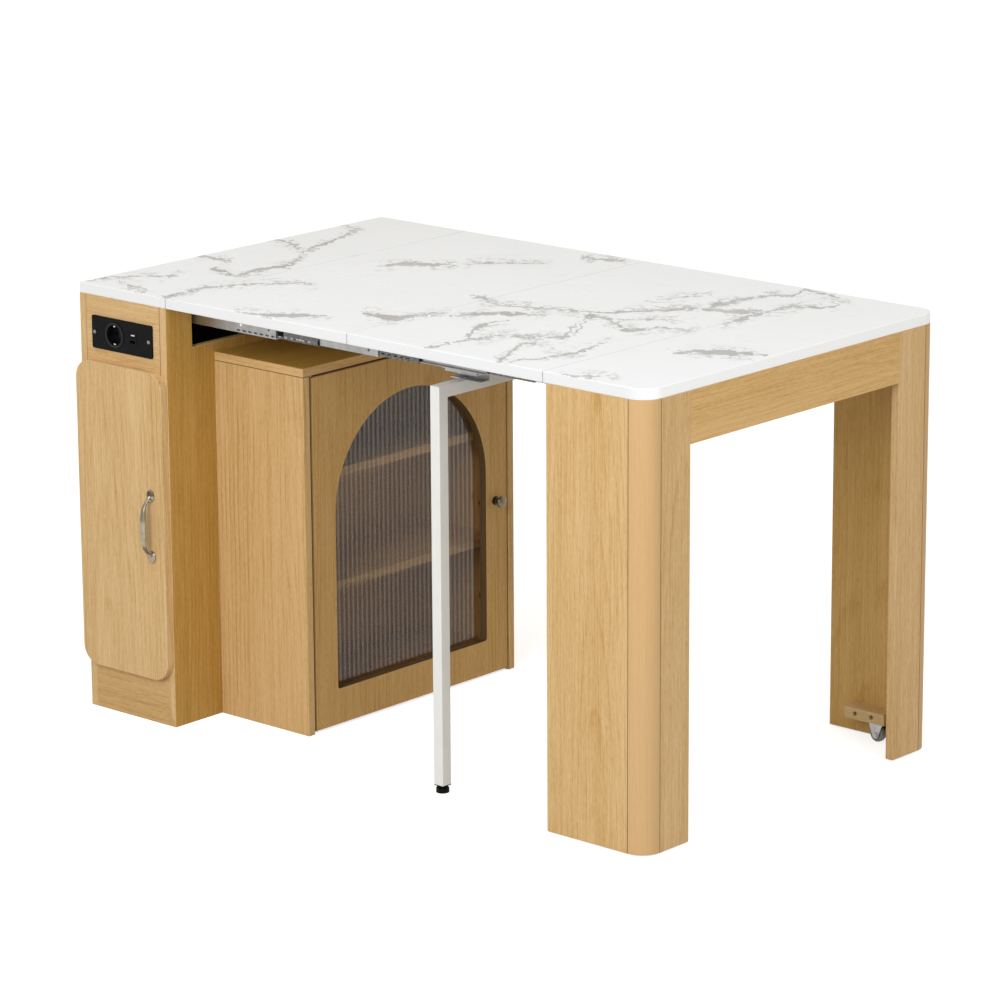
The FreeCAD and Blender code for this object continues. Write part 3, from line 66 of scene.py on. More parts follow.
Point = tuple[float, float, float]
Box = tuple[Point, Point]
Colour = tuple[float, float, float, float]


def place(points: np.ndarray) -> np.ndarray:
    """Millimetres from the tower's near left corner on the floor, as metres in the model's frame.

    Args:
        points: One point or an array of points, three numbers each.

    Returns:
        The same points in metres.
    """
    return np.asarray(points, float) * MM + CORNER


def put_in_scene(name: str, data: Optional[bpy.types.ID]) -> bpy.types.Object:
    """A new object with its data, in the scene."""
    made = bpy.data.objects.new(name, data)
    bpy.context.scene.collection.objects.link(made)
    return made


# ------------------------------------------------------------------ node graphs


@dataclass
class Graph:
    """The node tree of a material or a group, with short calls for the nodes that finishes use."""

    tree: bpy.types.NodeTree

    @classmethod
    def of(cls, owner: Union[bpy.types.Material, bpy.types.World]) -> "Graph":
        """The emptied node tree of a material or a sky."""
        owner.use_nodes = True
        owner.node_tree.nodes.clear()
        return cls(owner.node_tree)

    def feed(self, socket: Socket, value: Value) -> None:
        """Link a socket to another one, or set its plain value."""
        if isinstance(value, Socket):
            self.tree.links.new(value, socket)
        elif value is not None:
            socket.default_value = value

    def fill(self, node: bpy.types.Node, inputs: dict[Union[str, int], Value]) -> None:
        """Feed several of a node's inputs, by name or by number."""
        for name, value in inputs.items():
            self.feed(node.inputs[name], value)

    def node(self, kind: str, inputs: Optional[dict] = None, **settings: object) -> bpy.types.Node:
        """Add one node.

        Args:
            kind: The node's type name.
            inputs: Socket names or numbers and what feeds them.
            **settings: Properties of the node.

        Returns:
            The new node.
        """
        made = self.tree.nodes.new(kind)
        for name, value in settings.items():
            setattr(made, name, value)
        self.fill(made, inputs or {})
        return made

    def math(self, operation: str, *values: Value, clamp: bool = False) -> Socket:
        """One arithmetic step on up to three values."""
        return self.node("ShaderNodeMath", dict(enumerate(values)), operation=operation,
                         use_clamp=clamp).outputs[0]

    times = partialmethod(math, "MULTIPLY")
    plus = partialmethod(math, "ADD")
    less = partialmethod(math, "SUBTRACT")
    onto = partialmethod(math, "MULTIPLY_ADD")  # two values multiplied, and added onto a third
    most = partialmethod(math, "MAXIMUM")
    size = partialmethod(math, "ABSOLUTE")

    def vector(self, operation: str, *values: Value) -> Socket:
        """One step of vector arithmetic. Gives the vector, or the number for a length."""
        made = self.node("ShaderNodeVectorMath", dict(enumerate(values)), operation=operation)
        return made.outputs["Value" if operation in ("LENGTH", "DOT_PRODUCT") else "Vector"]

    def split(self, vector: Value) -> tuple[Socket, Socket, Socket]:
        """The three parts of a vector."""
        return tuple(self.node("ShaderNodeSeparateXYZ", {0: vector}).outputs)

    def merge(self, x: Value, y: Value, z: Value) -> Socket:
        """A vector from three parts."""
        return self.node("ShaderNodeCombineXYZ", {0: x, 1: y, 2: z}).outputs[0]

    def spread(self, value: Value, low: Value, high: Value, start: Value = 0.0, end: Value = 1.0,
               smooth: bool = False) -> Socket:
        """Bring a value from one range to another, held inside it."""
        return self.node("ShaderNodeMapRange", dict(enumerate((value, low, high, start, end))), clamp=True,
                         interpolation_type="SMOOTHSTEP" if smooth else "LINEAR").outputs[0]

    def noise(self, vector: Value, scale: Value, detail: float = 2.0, rough: float = 0.5,
              seed: Value = 0.0) -> Socket:
        """Four-dimensional noise from 0 to 1, with a seed that changes it from piece to piece."""
        inputs = {"Vector": vector, "W": seed, "Scale": scale, "Detail": detail, "Roughness": rough}
        return self.node("ShaderNodeTexNoise", inputs, noise_dimensions="4D").outputs["Fac"]

    def blend(self, share: Value, first: Value, second: Value, mode: str = "MIX") -> Socket:
        """Mix two colours."""
        return self.node("ShaderNodeMix", {0: share, 6: first, 7: second}, data_type="RGBA",
                         blend_type=mode).outputs[2]

    def use(self, group: bpy.types.NodeTree, **values: Value) -> bpy.types.Node:
        """Place a shared effect and feed its inputs by name."""
        return self.node("ShaderNodeGroup", values, node_tree=group)


class Effect:
    """A shared effect as a node group with named inputs and outputs."""

    def __init__(self, name: str, inputs: dict[str, tuple], outputs: dict[str, str]) -> None:
        """Make the group and its sockets.

        Args:
            name: The group's name.
            inputs: Socket name to its kind and its starting value.
            outputs: Socket name to its kind.
        """
        self.tree = bpy.data.node_groups.new(name, "ShaderNodeTree")
        for label, (kind, start) in inputs.items():
            socket = self.tree.interface.new_socket(label, in_out="INPUT", socket_type=kind)
            if start is not None:
                socket.default_value = start
        for label, kind in outputs.items():
            self.tree.interface.new_socket(label, in_out="OUTPUT", socket_type=kind)
        self.graph = Graph(self.tree)
        self.start = self.tree.nodes.new("NodeGroupInput").outputs
        self.end = self.tree.nodes.new("NodeGroupOutput")

    def give(self, **values: Value) -> None:
        """Feed the group's outputs by name."""
        self.graph.fill(self.end, values)


FLOAT, COLOUR, VECTOR = "NodeSocketFloat", "NodeSocketColor", "NodeSocketVector"

# The noises that make the oak's grain, coarse to fine: changes per metre across and along the
# fibres, detail and seed, then the noise's middle value and the dark it adds at both its ends.
GRAIN = {
    "broad": (15.0, 0.7, 2.0, 3.1, 0.50, -0.12, 0.22),
    "band": (300.0, 2.2, 1.0, 5.3, 0.56, -0.06, 0.30),
    "streak": (520.0, 9.0, 2.0, 0.0, 0.54, -0.10, 0.44),
    "fibre": (700.0, 80.0, 2.0, 1.7, 0.50, -0.18, 0.34),
}
GRAIN_REACH = 0.18  # of the noise, from its middle to either end
SWAY = 0.016  # metres that the fibres wander
RINGS_PER_METRE = 95.0
RING_SHARE, PORE_SHARE = 0.55, 0.30  # of dark


@cache
def wood_effect() -> bpy.types.NodeTree:
    """Oak printed on laminate, mostly straight in the grain.

    The fibres run along Z of the vector it is given, the board's width is X and its thickness Y.
    Bands, streaks and fibres are noises stretched along the fibres, each finer than the last.
    Growth rings are circles about a pith that leans slowly away from the fibres, so that a few of
    them cut the face in long thin arches. Short dark pores lie over all of it.
    """
    effect = Effect(
        "wood_grain",
        {"Vector": (VECTOR, None), "Seed": (FLOAT, 0.0), "Light": (COLOUR, (0.7, 0.5, 0.3, 1)),
         "Dark": (COLOUR, (0.4, 0.25, 0.1, 1)), "Figure": (FLOAT, 1.0), "Pores": (FLOAT, 1.0)},
        {"Color": COLOUR, "Roughness": FLOAT, "Height": FLOAT},
    )
    g, start = effect.graph, effect.start
    seed = start["Seed"]
    slow = g.noise(g.vector("MULTIPLY", start["Vector"], (5.0, 5.0, 1.6)), 1.0, 2.0, 0.5, seed)
    sway = g.times(g.less(slow, 0.5), SWAY)
    across, deep, along = g.split(start["Vector"])
    across = g.plus(across, sway)
    where = g.merge(across, g.plus(deep, sway), along)

    def grain(width: float, length: float, detail: float, extra: float) -> Socket:
        """Noise drawn out along the fibres: changes per metre across and along them."""
        drawn = g.vector("MULTIPLY", where, (width, width, length))
        return g.noise(drawn, 1.0, detail, 0.6, g.plus(seed, extra))

    layers = {name: grain(*values[:4]) for name, values in GRAIN.items()}
    fibre, pore = layers["fibre"], grain(1200.0, 30.0, 1.0, 7.7)
    # The pith leans as it runs along, so that the rings about it cross the face in arches.
    lean = g.onto(along, 0.02, g.times(g.math("SINE", seed), 0.05))
    below = g.plus(g.onto(along, 0.05, 0.075), deep)
    ring = g.vector("LENGTH", g.merge(g.plus(across, lean), below, 0.0))
    jitter = grain(30.0, 6.0, 3.0, 9.2)
    wave = g.math("FRACT", g.onto(ring, RINGS_PER_METRE, g.times(jitter, 0.8)))
    late = g.times(g.math("POWER", wave, 5.0), g.spread(wave, 1.0, 0.90, 0.0, 1.0, smooth=True))
    shown = g.times(g.spread(grain(9.0, 1.8, 2.0, 4.4), 0.44, 0.60), start["Figure"])
    pores = g.times(g.spread(pore, 0.62, 0.76), start["Pores"])
    dark = g.times(g.times(late, shown), RING_SHARE)
    for name, (*_, middle, low, high) in GRAIN.items():
        ends = middle - GRAIN_REACH, middle + GRAIN_REACH
        dark = g.plus(dark, g.spread(layers[name], *ends, low, high))
    dark = g.plus(dark, g.times(pores, PORE_SHARE), clamp=True)
    colour = g.blend(dark, start["Light"], start["Dark"])
    rough = g.onto(pores, 0.16, g.spread(fibre, 0.2, 0.8, 0.42, 0.54))
    height = g.less(g.times(fibre, 0.35), pores)
    effect.give(Color=colour, Roughness=rough, Height=height)
    return effect.tree


@cache
def joint_effect() -> bpy.types.NodeTree:
    """The thin dark line where two boards meet, on a plane across one axis.

    The value falls from 1 on the plane to 0 at the line's width. The two boards of a pair are
    folded onto the near one by their distance from the plane halfway across the worktop.
    """
    effect = Effect("joint_line", {"Vector": (VECTOR, None), "Spot": (VECTOR, (0, 0, 0)),
                                   "Axis": (VECTOR, (1, 0, 0)), "Width": (FLOAT, 0.001)}, {"Mask": FLOAT})
    g, start = effect.graph, effect.start
    x, y, z = g.split(start["Vector"])
    halfway = WORKTOP_WIDTH / 2 * MM + float(CORNER[1])
    folded = g.less(halfway, g.size(g.less(y, halfway)))
    away = g.vector("SUBTRACT", g.merge(x, folded, z), start["Spot"])
    away = g.size(g.vector("DOT_PRODUCT", away, start["Axis"]))
    effect.give(Mask=g.spread(away, g.times(start["Width"], 0.5), start["Width"], 1.0, 0.0,
                              smooth=True))
    return effect.tree


@cache
def mottle_effect() -> bpy.types.NodeTree:
    """Slow patches and fine specks over a surface, for cast, plated and moulded finishes.

    Patches are a slow noise, specks a fine one, and scratches a noise stretched along one axis.
    """
    effect = Effect(
        "mottle",
        {"Vector": (VECTOR, None), "Patch": (FLOAT, 60.0), "Speck": (FLOAT, 1500.0),
         "Stretch": (VECTOR, (1, 1, 1))},
        {"Patches": FLOAT, "Specks": FLOAT, "Scratches": FLOAT},
    )
    g, start = effect.graph, effect.start
    where = start["Vector"]
    patches = g.spread(g.noise(where, start["Patch"], 4.0, 0.6), 0.3, 0.7)
    specks = g.spread(g.noise(where, start["Speck"], 2.0, 0.5, 4.0), 0.25, 0.75)
    drawn = g.vector("MULTIPLY", where, start["Stretch"])
    scratches = g.spread(g.noise(drawn, 1.0, 3.0, 0.65, 9.0), 0.3, 0.7)
    effect.give(Patches=patches, Specks=specks, Scratches=scratches)
    return effect.tree


# Veins of the worktop, one route each: along the worktop's diagonal, across it, and how bold
# the vein is there, from 1, a hair line, to 4, a broad smoky patch. Millimetres.
VEINS: tuple[tuple[Point, ...], ...] = (
    ((10, -2, 1), (33, 27, 1), (57, 45, 2), (111, 53, 1.5), (172, 51, 2), (185, 61, 4), (204, 60, 1)),
    ((68, 35, 1), (101, -33, 1.3), (148, -92, 1)),
    ((209, 291, 1), (227, 260, 2.5), (261, 228, 3), (295, 207, 2)),
    ((252, 108, 1), (260, 138, 2), (286, 97, 2), (315, 57, 2.5), (340, 95, 2), (364, 124, 3),
     (389, 144, 2.5), (416, 153, 1.5), (429, 223, 2), (442, 274, 1)),
    ((347, 456, 1), (366, 434, 2), (395, 412, 2), (422, 348, 1.5), (447, 264, 1)),
    ((177, -177, 1), (194, -149, 2), (225, -104, 1.5), (259, -67, 2), (303, -40, 1.5),
     (337, -31, 2), (387, -23, 1.5), (437, -15, 2), (499, -36, 1)),
    ((439, 305, 1), (457, 357, 2), (485, 409, 1.5), (507, 462, 2), (526, 516, 1.5), (545, 548, 1)),
    ((478, 616, 1), (501, 593, 1.5), (525, 560, 1), (557, 526, 1)),
    ((596, 158, 1), (627, 167, 3), (668, 176, 4), (714, 174, 3.5), (741, 173, 2), (767, 163, 1)),
    ((775, 172, 1), (825, 181, 1.5), (887, 189, 1), (972, 187, 1)),
    ((594, -291, 1), (609, -309, 3), (640, -337, 4), (664, -347, 4), (712, -313, 2), (766, -278, 1)),
    ((338, -282, 1), (361, -301, 2), (404, -320, 3), (453, -322, 3.5), (498, -324, 2.5), (539, -325, 1)),
    ((726, -625, 1), (741, -609, 1.5), (775, -568, 1), (814, -535, 1.5), (852, -511, 1.5),
     (890, -495, 1.5), (943, -505, 1), (982, -515, 1)),
    ((795, -585, 1), (808, -509, 1.5), (824, -423, 1.5), (852, -389, 1.5), (887, -363, 1)),
    ((771, -324, 1), (787, -315, 2), (830, -307, 3), (874, -309, 3.5), (913, -310, 2.5), (953, -311, 1)),
    ((802, -122, 1), (815, -150, 1.5), (836, -188, 1.5), (857, -226, 1.5), (898, -237, 1), (952, -248, 1)),
    ((863, -737, 1), (877, -705, 1.5), (898, -631, 1.5), (919, -573, 1.5), (944, -591, 1), (978, -625, 1)),
    ((817, -197, 1), (867, -226, 1.5), (918, -247, 2), (998, -277, 2), (1078, -297, 2.5),
     (1138, -281, 2), (1192, -274, 2.5), (1252, -257, 2), (1282, -277, 2.5), (1312, -287, 3.5),
     (1338, -288, 4), (1362, -288, 3), (1384, -280, 1)),
    ((1009, -508, 1), (1020, -456, 1.5), (1038, -323, 2), (1062, -342, 1.5), (1084, -370, 2),
     (1112, -459, 2), (1147, -451, 1.5), (1190, -435, 2), (1223, -445, 1.5), (1254, -455, 1)),
    ((809, -552, 1), (828, -536, 1.5), (866, -520, 1), (904, -513, 1.5), (953, -523, 1),
     (995, -524, 1.5), (1008, -438, 1.5), (1019, -359, 1)),
    ((871, -713, 1), (909, -714, 1.5), (947, -707, 1.5), (984, -675, 1.5), (1022, -644, 2),
     (1054, -594, 1.5), (1084, -544, 1)),
    ((1268, -276, 1), (1285, -231, 2), (1331, -186, 2), (1377, -149, 2), (1409, -141, 1.5),
     (1444, -142, 2), (1473, -86, 2), (1516, -135, 1.5), (1564, -193, 1)),
    ((1298, -421, 1), (1322, -369, 1.5), (1377, -307, 1.5), (1434, -245, 2), (1466, -246, 2),
     (1494, -256, 3), (1521, -238, 2), (1542, -220, 1)),
    ((1189, -649, 1), (1207, -650, 2), (1251, -643, 3), (1302, -653, 4), (1336, -663, 3),
     (1370, -672, 1.5), (1393, -673, 1)),
    ((983, -845, 1), (999, -846, 1.5), (1042, -847, 1), (1103, -849, 1)),
    ((1017, 257, 1), (1034, 236, 2), (1071, 215, 3), (1094, 214, 3), (1119, 213, 1.5)),
    ((782, 192, 1), (803, 192, 1.5), (852, 180, 1), (894, 179, 1.5), (957, 187, 1)),
    ((1138, -207, 1), (1179, -171, 1), (1240, -154, 1.3), (1292, -118, 1)),
    ((1059, -404, 1), (1137, -354, 1.3), (1201, -374, 1), (1257, -339, 1)),
)
VEIN_DIAGONAL = 0.70  # radians from X
BOLDNESS = ((1.0, 3.2), (1.5, 5.2), (2.0, 7.4), (3.0, 13.5), (4.0, 21.0))  # to half width, mm
WIDEST = 60.0 * MM  # half width at the top of a vein's width curve
VEIN_MARGIN = 4.0  # mm, of a vein's place curve beyond its route
STEEPEST = 14.0  # mm, the most that a steep run adds to a half width

# The marble's noises: changes per metre along and across the diagonal, detail and seed.
MARBLE_NOISES = {
    "bend": (20.0, 20.0, 4.0, 0.0), "shake": (60.0, 60.0, 4.0, 2.0), "tear": (38.0, 38.0, 5.0, 4.0),
    "tangle": (55.0, 70.0, 6.0, 5.0), "crumb": (24.0, 30.0, 5.0, 8.0),
    "cover": (18.0, 18.0, 4.0, 1.5), "gate": (11.0, 11.0, 3.0, 3.0),
}
PALE, CLOUDY = (0.955, 0.96, 0.985, 1), (0.935, 0.94, 0.965, 1)
# Painted shade: the ground darker towards the rolling end.
PALE_END_SHADE = (0.90, 0.905, 0.925, 1)  # towards the rolling end
DARK_SMOKE, LIGHT_SMOKE = (0.30, 0.275, 0.255, 1), (0.44, 0.415, 0.39, 1)


def curve_of(g: Graph, value: Socket, places: np.ndarray, heights: np.ndarray) -> Socket:
    """A value read off a curve of straight runs.

    Args:
        g: The graph.
        value: What is read, from 0 to 1.
        places: The curve's points along, from 0 to 1 and in order.
        heights: The curve's points up, from 0 to 1.

    Returns:
        The curve's height there.
    """
    node = g.node("ShaderNodeFloatCurve", {"Value": value})
    curve = node.mapping.curves[0]
    while len(curve.points) < len(places):
        curve.points.new(0.5, 0.5)
    for point, spot in zip(curve.points, np.column_stack([places, heights])):
        point.location = spot.tolist()
        point.handle_type = "VECTOR"
    node.mapping.update()
    return node.outputs[0]


@cache
def marble_effect() -> bpy.types.NodeTree:
    """White marble print with grey veins.

    Along the worktop's diagonal each vein is one curve of its place across and one of its half
    width. How far a point lies inside a vein is that half width less its distance from the
    curve, and the largest of all veins' values is kept. Noise shakes the place and the width,
    so that a hair line breaks up and a broad patch frays.
    """
    effect = Effect("marble_veins", {"Vector": (VECTOR, None)}, {"Color": COLOUR, "Roughness": FLOAT})
    g = effect.graph
    local = g.vector("SUBTRACT", effect.start["Vector"], tuple(CORNER))
    x, y, _ = g.split(local)
    cosine, sine = math.cos(VEIN_DIAGONAL), math.sin(VEIN_DIAGONAL)
    along = g.plus(g.times(x, cosine), g.times(y, sine))
    across = g.less(g.times(y, cosine), g.times(x, sine))

    def rough(length: float, breadth: float, detail: float, seed: float) -> Socket:
        """Noise about zero: changes per metre along and across the diagonal."""
        drawn = g.merge(g.times(along, length), g.times(across, breadth), 0.0)
        return g.less(g.noise(drawn, 1.0, detail, 0.66, seed), 0.5)

    bend, shake, tear, tangle, crumb, cover, gate = (rough(*values) for values in MARBLE_NOISES.values())
    along = g.onto(tear, 0.060, g.onto(shake, 0.020, along))
    for part, reach in ((bend, 0.070), (shake, 0.050)):
        across = g.onto(part, reach, across)
    grades, halves = np.array(BOLDNESS).T
    depth: Optional[Socket] = None
    for route in VEINS:
        spots = np.array(route, float)
        begin, end = spots[0, 0], spots[-1, 0]
        low, high = spots[:, 1].min() - VEIN_MARGIN, spots[:, 1].max() + VEIN_MARGIN
        share = (spots[:, 0] - begin) / (end - begin)
        slope = np.abs(np.gradient(spots[:, 1], spots[:, 0]))
        half = np.interp(spots[:, 2], grades, halves)
        half = np.minimum(half * np.sqrt(1 + slope ** 2), half + STEEPEST) * MM
        half[0] = half[-1] = 0.0
        turn = g.spread(along, begin * MM, end * MM)
        course = curve_of(g, turn, share, (spots[:, 1] - low) / (high - low))
        middle = g.onto(course, (high - low) * MM, low * MM)
        away = g.size(g.less(across, middle))
        reach = g.times(curve_of(g, turn, share, half / WIDEST), WIDEST)
        inside = g.less(reach, g.plus(away, g.spread(reach, 0.0, 0.0006, 0.05, 0.0)))
        depth = inside if depth is None else g.most(depth, inside)
    # A vein is frayed at its rim, and thin where the cover is low.
    frayed = g.onto(tangle, 0.050, depth)
    body = g.spread(frayed, -0.0002, 0.0022, 0.0, 1.0, smooth=True)
    core = g.times(body, g.spread(cover, -0.16, 0.10, 0.62, 1.0))
    # Near it, twigs branch off in places and a faint halo lies round it.
    near = g.spread(depth, -0.065, -0.004, 0.0, 1.0, smooth=True)
    twig = g.spread(g.size(crumb), 0.010, 0.042, 1.0, 0.0, smooth=True)
    twig = g.times(g.times(twig, g.spread(gate, -0.03, 0.05)), g.times(near, 0.85))
    halo = g.times(near, g.spread(cover, 0.0, 0.25, 0.0, 0.14))
    # Slow clouds tint the ground, with hair lines in the greyest of them.
    cloud = g.noise(local, 3.2, 4.0, 0.55, 6.0)
    hair = g.spread(g.size(bend), 0.0, 0.006, 0.10, 0.0, smooth=True)
    hair = g.times(hair, g.spread(cloud, 0.50, 0.62))
    veins = g.most(g.most(core, halo), g.most(twig, hair))
    ground = g.blend(g.spread(cloud, 0.35, 0.65), PALE, CLOUDY)
    # Painted shade: the ground darkens towards the rolling end.
    ground = g.blend(g.spread(x, 0.7, 1.4), ground, PALE_END_SHADE)
    smoke = g.blend(g.spread(cover, -0.15, 0.15), DARK_SMOKE, LIGHT_SMOKE)
    effect.give(Color=g.blend(veins, ground, smoke),
                Roughness=g.onto(core, 0.05, g.spread(cloud, 0.3, 0.7, 0.26, 0.32)))
    return effect.tree


# ------------------------------------------------------------------ finishes

WHITE = (1.0, 1.0, 1.0, 1)
FACING = (0.6, 0.8)  # cosines between which a face comes to count as facing a way


class Way(Enum):
    """A direction in the model's frame."""

    X = 0
    Y = 1
    Z = 2

    @property
    def unit(self) -> tuple[float, ...]:
        """A step of one this way."""
        return tuple(float(self.value == index) for index in range(3))


def object_place(g: Graph) -> Socket:
    """A point's place on its own object, which is its place in the model's frame at rest."""
    return g.node("ShaderNodeTexCoord").outputs["Object"]


def object_normal(g: Graph) -> Socket:
    """The face's direction on its own object, so a pattern stays with a part that turns."""
    return g.node("ShaderNodeVectorTransform",
                  {"Vector": g.node("ShaderNodeNewGeometry").outputs["True Normal"]},
                  vector_type="NORMAL", convert_from="WORLD", convert_to="OBJECT").outputs[0]


def joint_line(g: Graph, where: Socket, way: Way, spot: float, width: float) -> Socket:
    """1 along a joint across one axis, at a place and with a width in millimetres."""
    return g.use(joint_effect(), Vector=where, Spot=tuple(place([spot] * 3)), Axis=way.unit,
                 Width=width * MM).outputs["Mask"]


@dataclass(frozen=True)
class Finish:
    """A finish: builds one material with a Principled shader and its own pattern."""

    name: str
    slot: str

    @cache
    def material(self, tag: str = "") -> bpy.types.Material:
        """Build the material, or give the one already built.

        Args:
            tag: Added to the name where a piece has a material of its own.

        Returns:
            The material.
        """
        made = bpy.data.materials.new(self.name + ("_" + tag if tag else ""))
        g = Graph.of(made)
        shader = g.node("ShaderNodeBsdfPrincipled")
        self.dress(g, shader)
        g.node("ShaderNodeOutputMaterial", {"Surface": shader.outputs[0]})
        return made

    def dress(self, g: Graph, shader: bpy.types.Node) -> None:
        """Feed the shader. Each finish has its own way."""
        raise NotImplementedError

    def surface(self, g: Graph, shader: bpy.types.Node, colour: Socket, rough: Socket, height: Socket,
                depth: float, **others: Value) -> None:
        """Feed the shader its colour, roughness and relief, and its other inputs by name.

        Args:
            g: The graph.
            shader: The Principled shader.
            colour: Base colour.
            rough: Roughness.
            height: A height pattern from 0 to 1.
            depth: How deep the pattern is, in metres.
            **others: Other inputs, with _ for a space.
        """
        bump = g.node("ShaderNodeBump", {"Height": height, "Distance": depth})
        g.fill(shader, {"Base Color": colour, "Roughness": rough, "Normal": bump.outputs[0]})
        g.fill(shader, {name.replace("_", " "): value for name, value in others.items()})


@dataclass(frozen=True)
class Wood(Finish):
    """Oak-look laminate or planed timber on one board, with its fibres one way.

    A board may take painted shade, as tints on its broad faces, on its level faces, round its
    opening, and on its near-facing faces past the worktop's middle.
    """

    light: Colour = (0.70, 0.47, 0.243, 1)
    deepen: Point = (0.70, 0.60, 0.36)
    figure: float = 1.0
    pores: float = 1.0
    fibres: Way = Way.Z
    thin: Way = Way.X
    middle: Point = (0.0, 0.0, 0.0)
    seed: float = 0.0
    joints: tuple[tuple[Way, float], ...] = ()
    joint_shade: Colour = (0.17, 0.085, 0.03, 1)
    joint_width: float = 1.3
    joint_strength: float = 0.8
    # Painted shade: tints multiplied into the colour of the broad faces, the level faces, the faces round
    # an opening and the near-facing faces on the far half.
    broad: Colour = WHITE
    above: Colour = WHITE
    rims: Colour = WHITE
    rim_reach: Point = (100.0, 275.0, 350.0)
    rim_blur: float = 4.0
    beyond: Colour = WHITE
    gloss: float = 0.16
    relief: float = 0.00005

    def turning(self) -> Euler:
        """The turn that brings the board's width, thickness and fibres onto X, Y and Z."""
        width = ({0, 1, 2} - {self.fibres.value, self.thin.value}).pop()
        rows = np.zeros((3, 3))
        rows[0, width] = rows[1, self.thin.value] = rows[2, self.fibres.value] = 1.0
        if np.linalg.det(rows) < 0:
            rows[0] *= -1
        return Matrix(rows.tolist()).to_euler("XYZ")

    def opening(self, g: Graph, where: Socket, through: Socket) -> Socket:
        """1 on the faces round an opening in the board, nearer its middle than the reach given: where the
        painted shade of its rims goes.
        """
        mask = g.spread(g.size(through), 0.8, 0.4)
        for part, middle, reach in zip(g.split(where), self.middle, self.rim_reach):
            away = g.size(g.less(part, float(middle)))
            mask = g.times(mask, g.spread(away, reach * MM, (reach + self.rim_blur) * MM, 1.0, 0.0))
        return mask

    def dress(self, g: Graph, shader: bpy.types.Node) -> None:
        """Grain centred on the board, with the lines where it meets its neighbours over it.

        Faces across the fibres are edge banding, whose grain runs along them.
        """
        where = object_place(g)
        turn = self.turning()
        shift = -(turn.to_matrix() @ Vector(self.middle))
        mapping = g.node("ShaderNodeMapping", {"Vector": where, "Location": tuple(shift),
                                               "Rotation": tuple(turn)})
        normal = object_normal(g)
        banded = g.spread(g.size(g.vector("DOT_PRODUCT", normal, self.fibres.unit)), *FACING)
        wide, thin, long = g.split(mapping.outputs[0])
        either = g.node("ShaderNodeMix", {0: banded, 4: mapping.outputs[0], 5: g.merge(thin, long, wide)},
                        data_type="VECTOR")
        dark = tuple(part * share for part, share in zip(self.light, self.deepen)) + (1,)
        grain = g.use(wood_effect(), Vector=either.outputs[1], Seed=self.seed, Light=self.light,
                      Dark=dark, Figure=self.figure, Pores=self.pores)
        colour = grain.outputs["Color"]
        through = g.vector("DOT_PRODUCT", normal, self.thin.unit)
        # Painted shade: each tint darkens the faces that its mask picks out.
        beyond = g.times(g.spread(g.split(where)[1], 0.0, 0.01), g.spread(g.split(normal)[1], -0.4, -0.8))
        for shown, tint in ((g.spread(g.size(through), 0.7, 0.9), self.broad),
                            (g.spread(g.split(normal)[2], *FACING), self.above),
                            (self.opening(g, where, through), self.rims), (beyond, self.beyond)):
            if tint != WHITE:  # which would leave the board as it is
                colour = g.blend(shown, colour, tint, "MULTIPLY")
        for way, spot in self.joints:
            line = joint_line(g, where, way, spot, self.joint_width)
            colour = g.blend(g.times(line, self.joint_strength), colour, self.joint_shade)
        self.surface(g, shader, colour, grain.outputs["Roughness"], grain.outputs["Height"],
                     self.relief, Specular_IOR_Level=self.gloss)


@dataclass(frozen=True)
class Marble(Finish):
    """Marble-look laminate with white edges, the near one darkened as painted shade."""

    seams: tuple[float, ...] = (250.0, 750.0, 1250.0)
    seam_width: float = 1.6
    seam_colour: Colour = (0.42, 0.42, 0.42, 1)
    # Painted shade on the near edge, darker still towards the rolling end; the other edges keep a plain
    # white.
    near_edge_painted_shade: Colour = (0.83, 0.82, 0.82, 1)
    near_end_painted_shade: Colour = (0.765, 0.755, 0.76, 1)
    other_edges: Colour = (0.955, 0.945, 0.95, 1)
    gloss: float = 0.4
    relief: float = 0.00001

    def dress(self, g: Graph, shader: bpy.types.Node) -> None:
        """Veins on the level top, white on the edges with painted shade on the near one, which the
        surface's tilt tells apart.
        """
        where = object_place(g)
        veins = g.use(marble_effect(), Vector=where)
        _, across, level = g.split(object_normal(g))
        top = g.spread(level, *FACING)
        # Painted shade along the near edge, darker towards the rolling end.
        near = g.blend(g.spread(g.split(where)[0], -0.7, 0.7), self.near_edge_painted_shade, self.near_end_painted_shade)
        edge = g.blend(g.spread(across, -0.3, -0.9), self.other_edges, near)
        colour = g.blend(top, edge, veins.outputs["Color"])
        for seam in self.seams:
            line = joint_line(g, where, Way.X, seam, self.seam_width)
            shown = g.times(line, g.spread(top, 0.0, 1.0, 0.8, 0.5))
            colour = g.blend(shown, colour, self.seam_colour)
        self.surface(g, shader, colour, veins.outputs["Roughness"], g.noise(where, 900.0),
                     self.relief, Specular_IOR_Level=self.gloss)


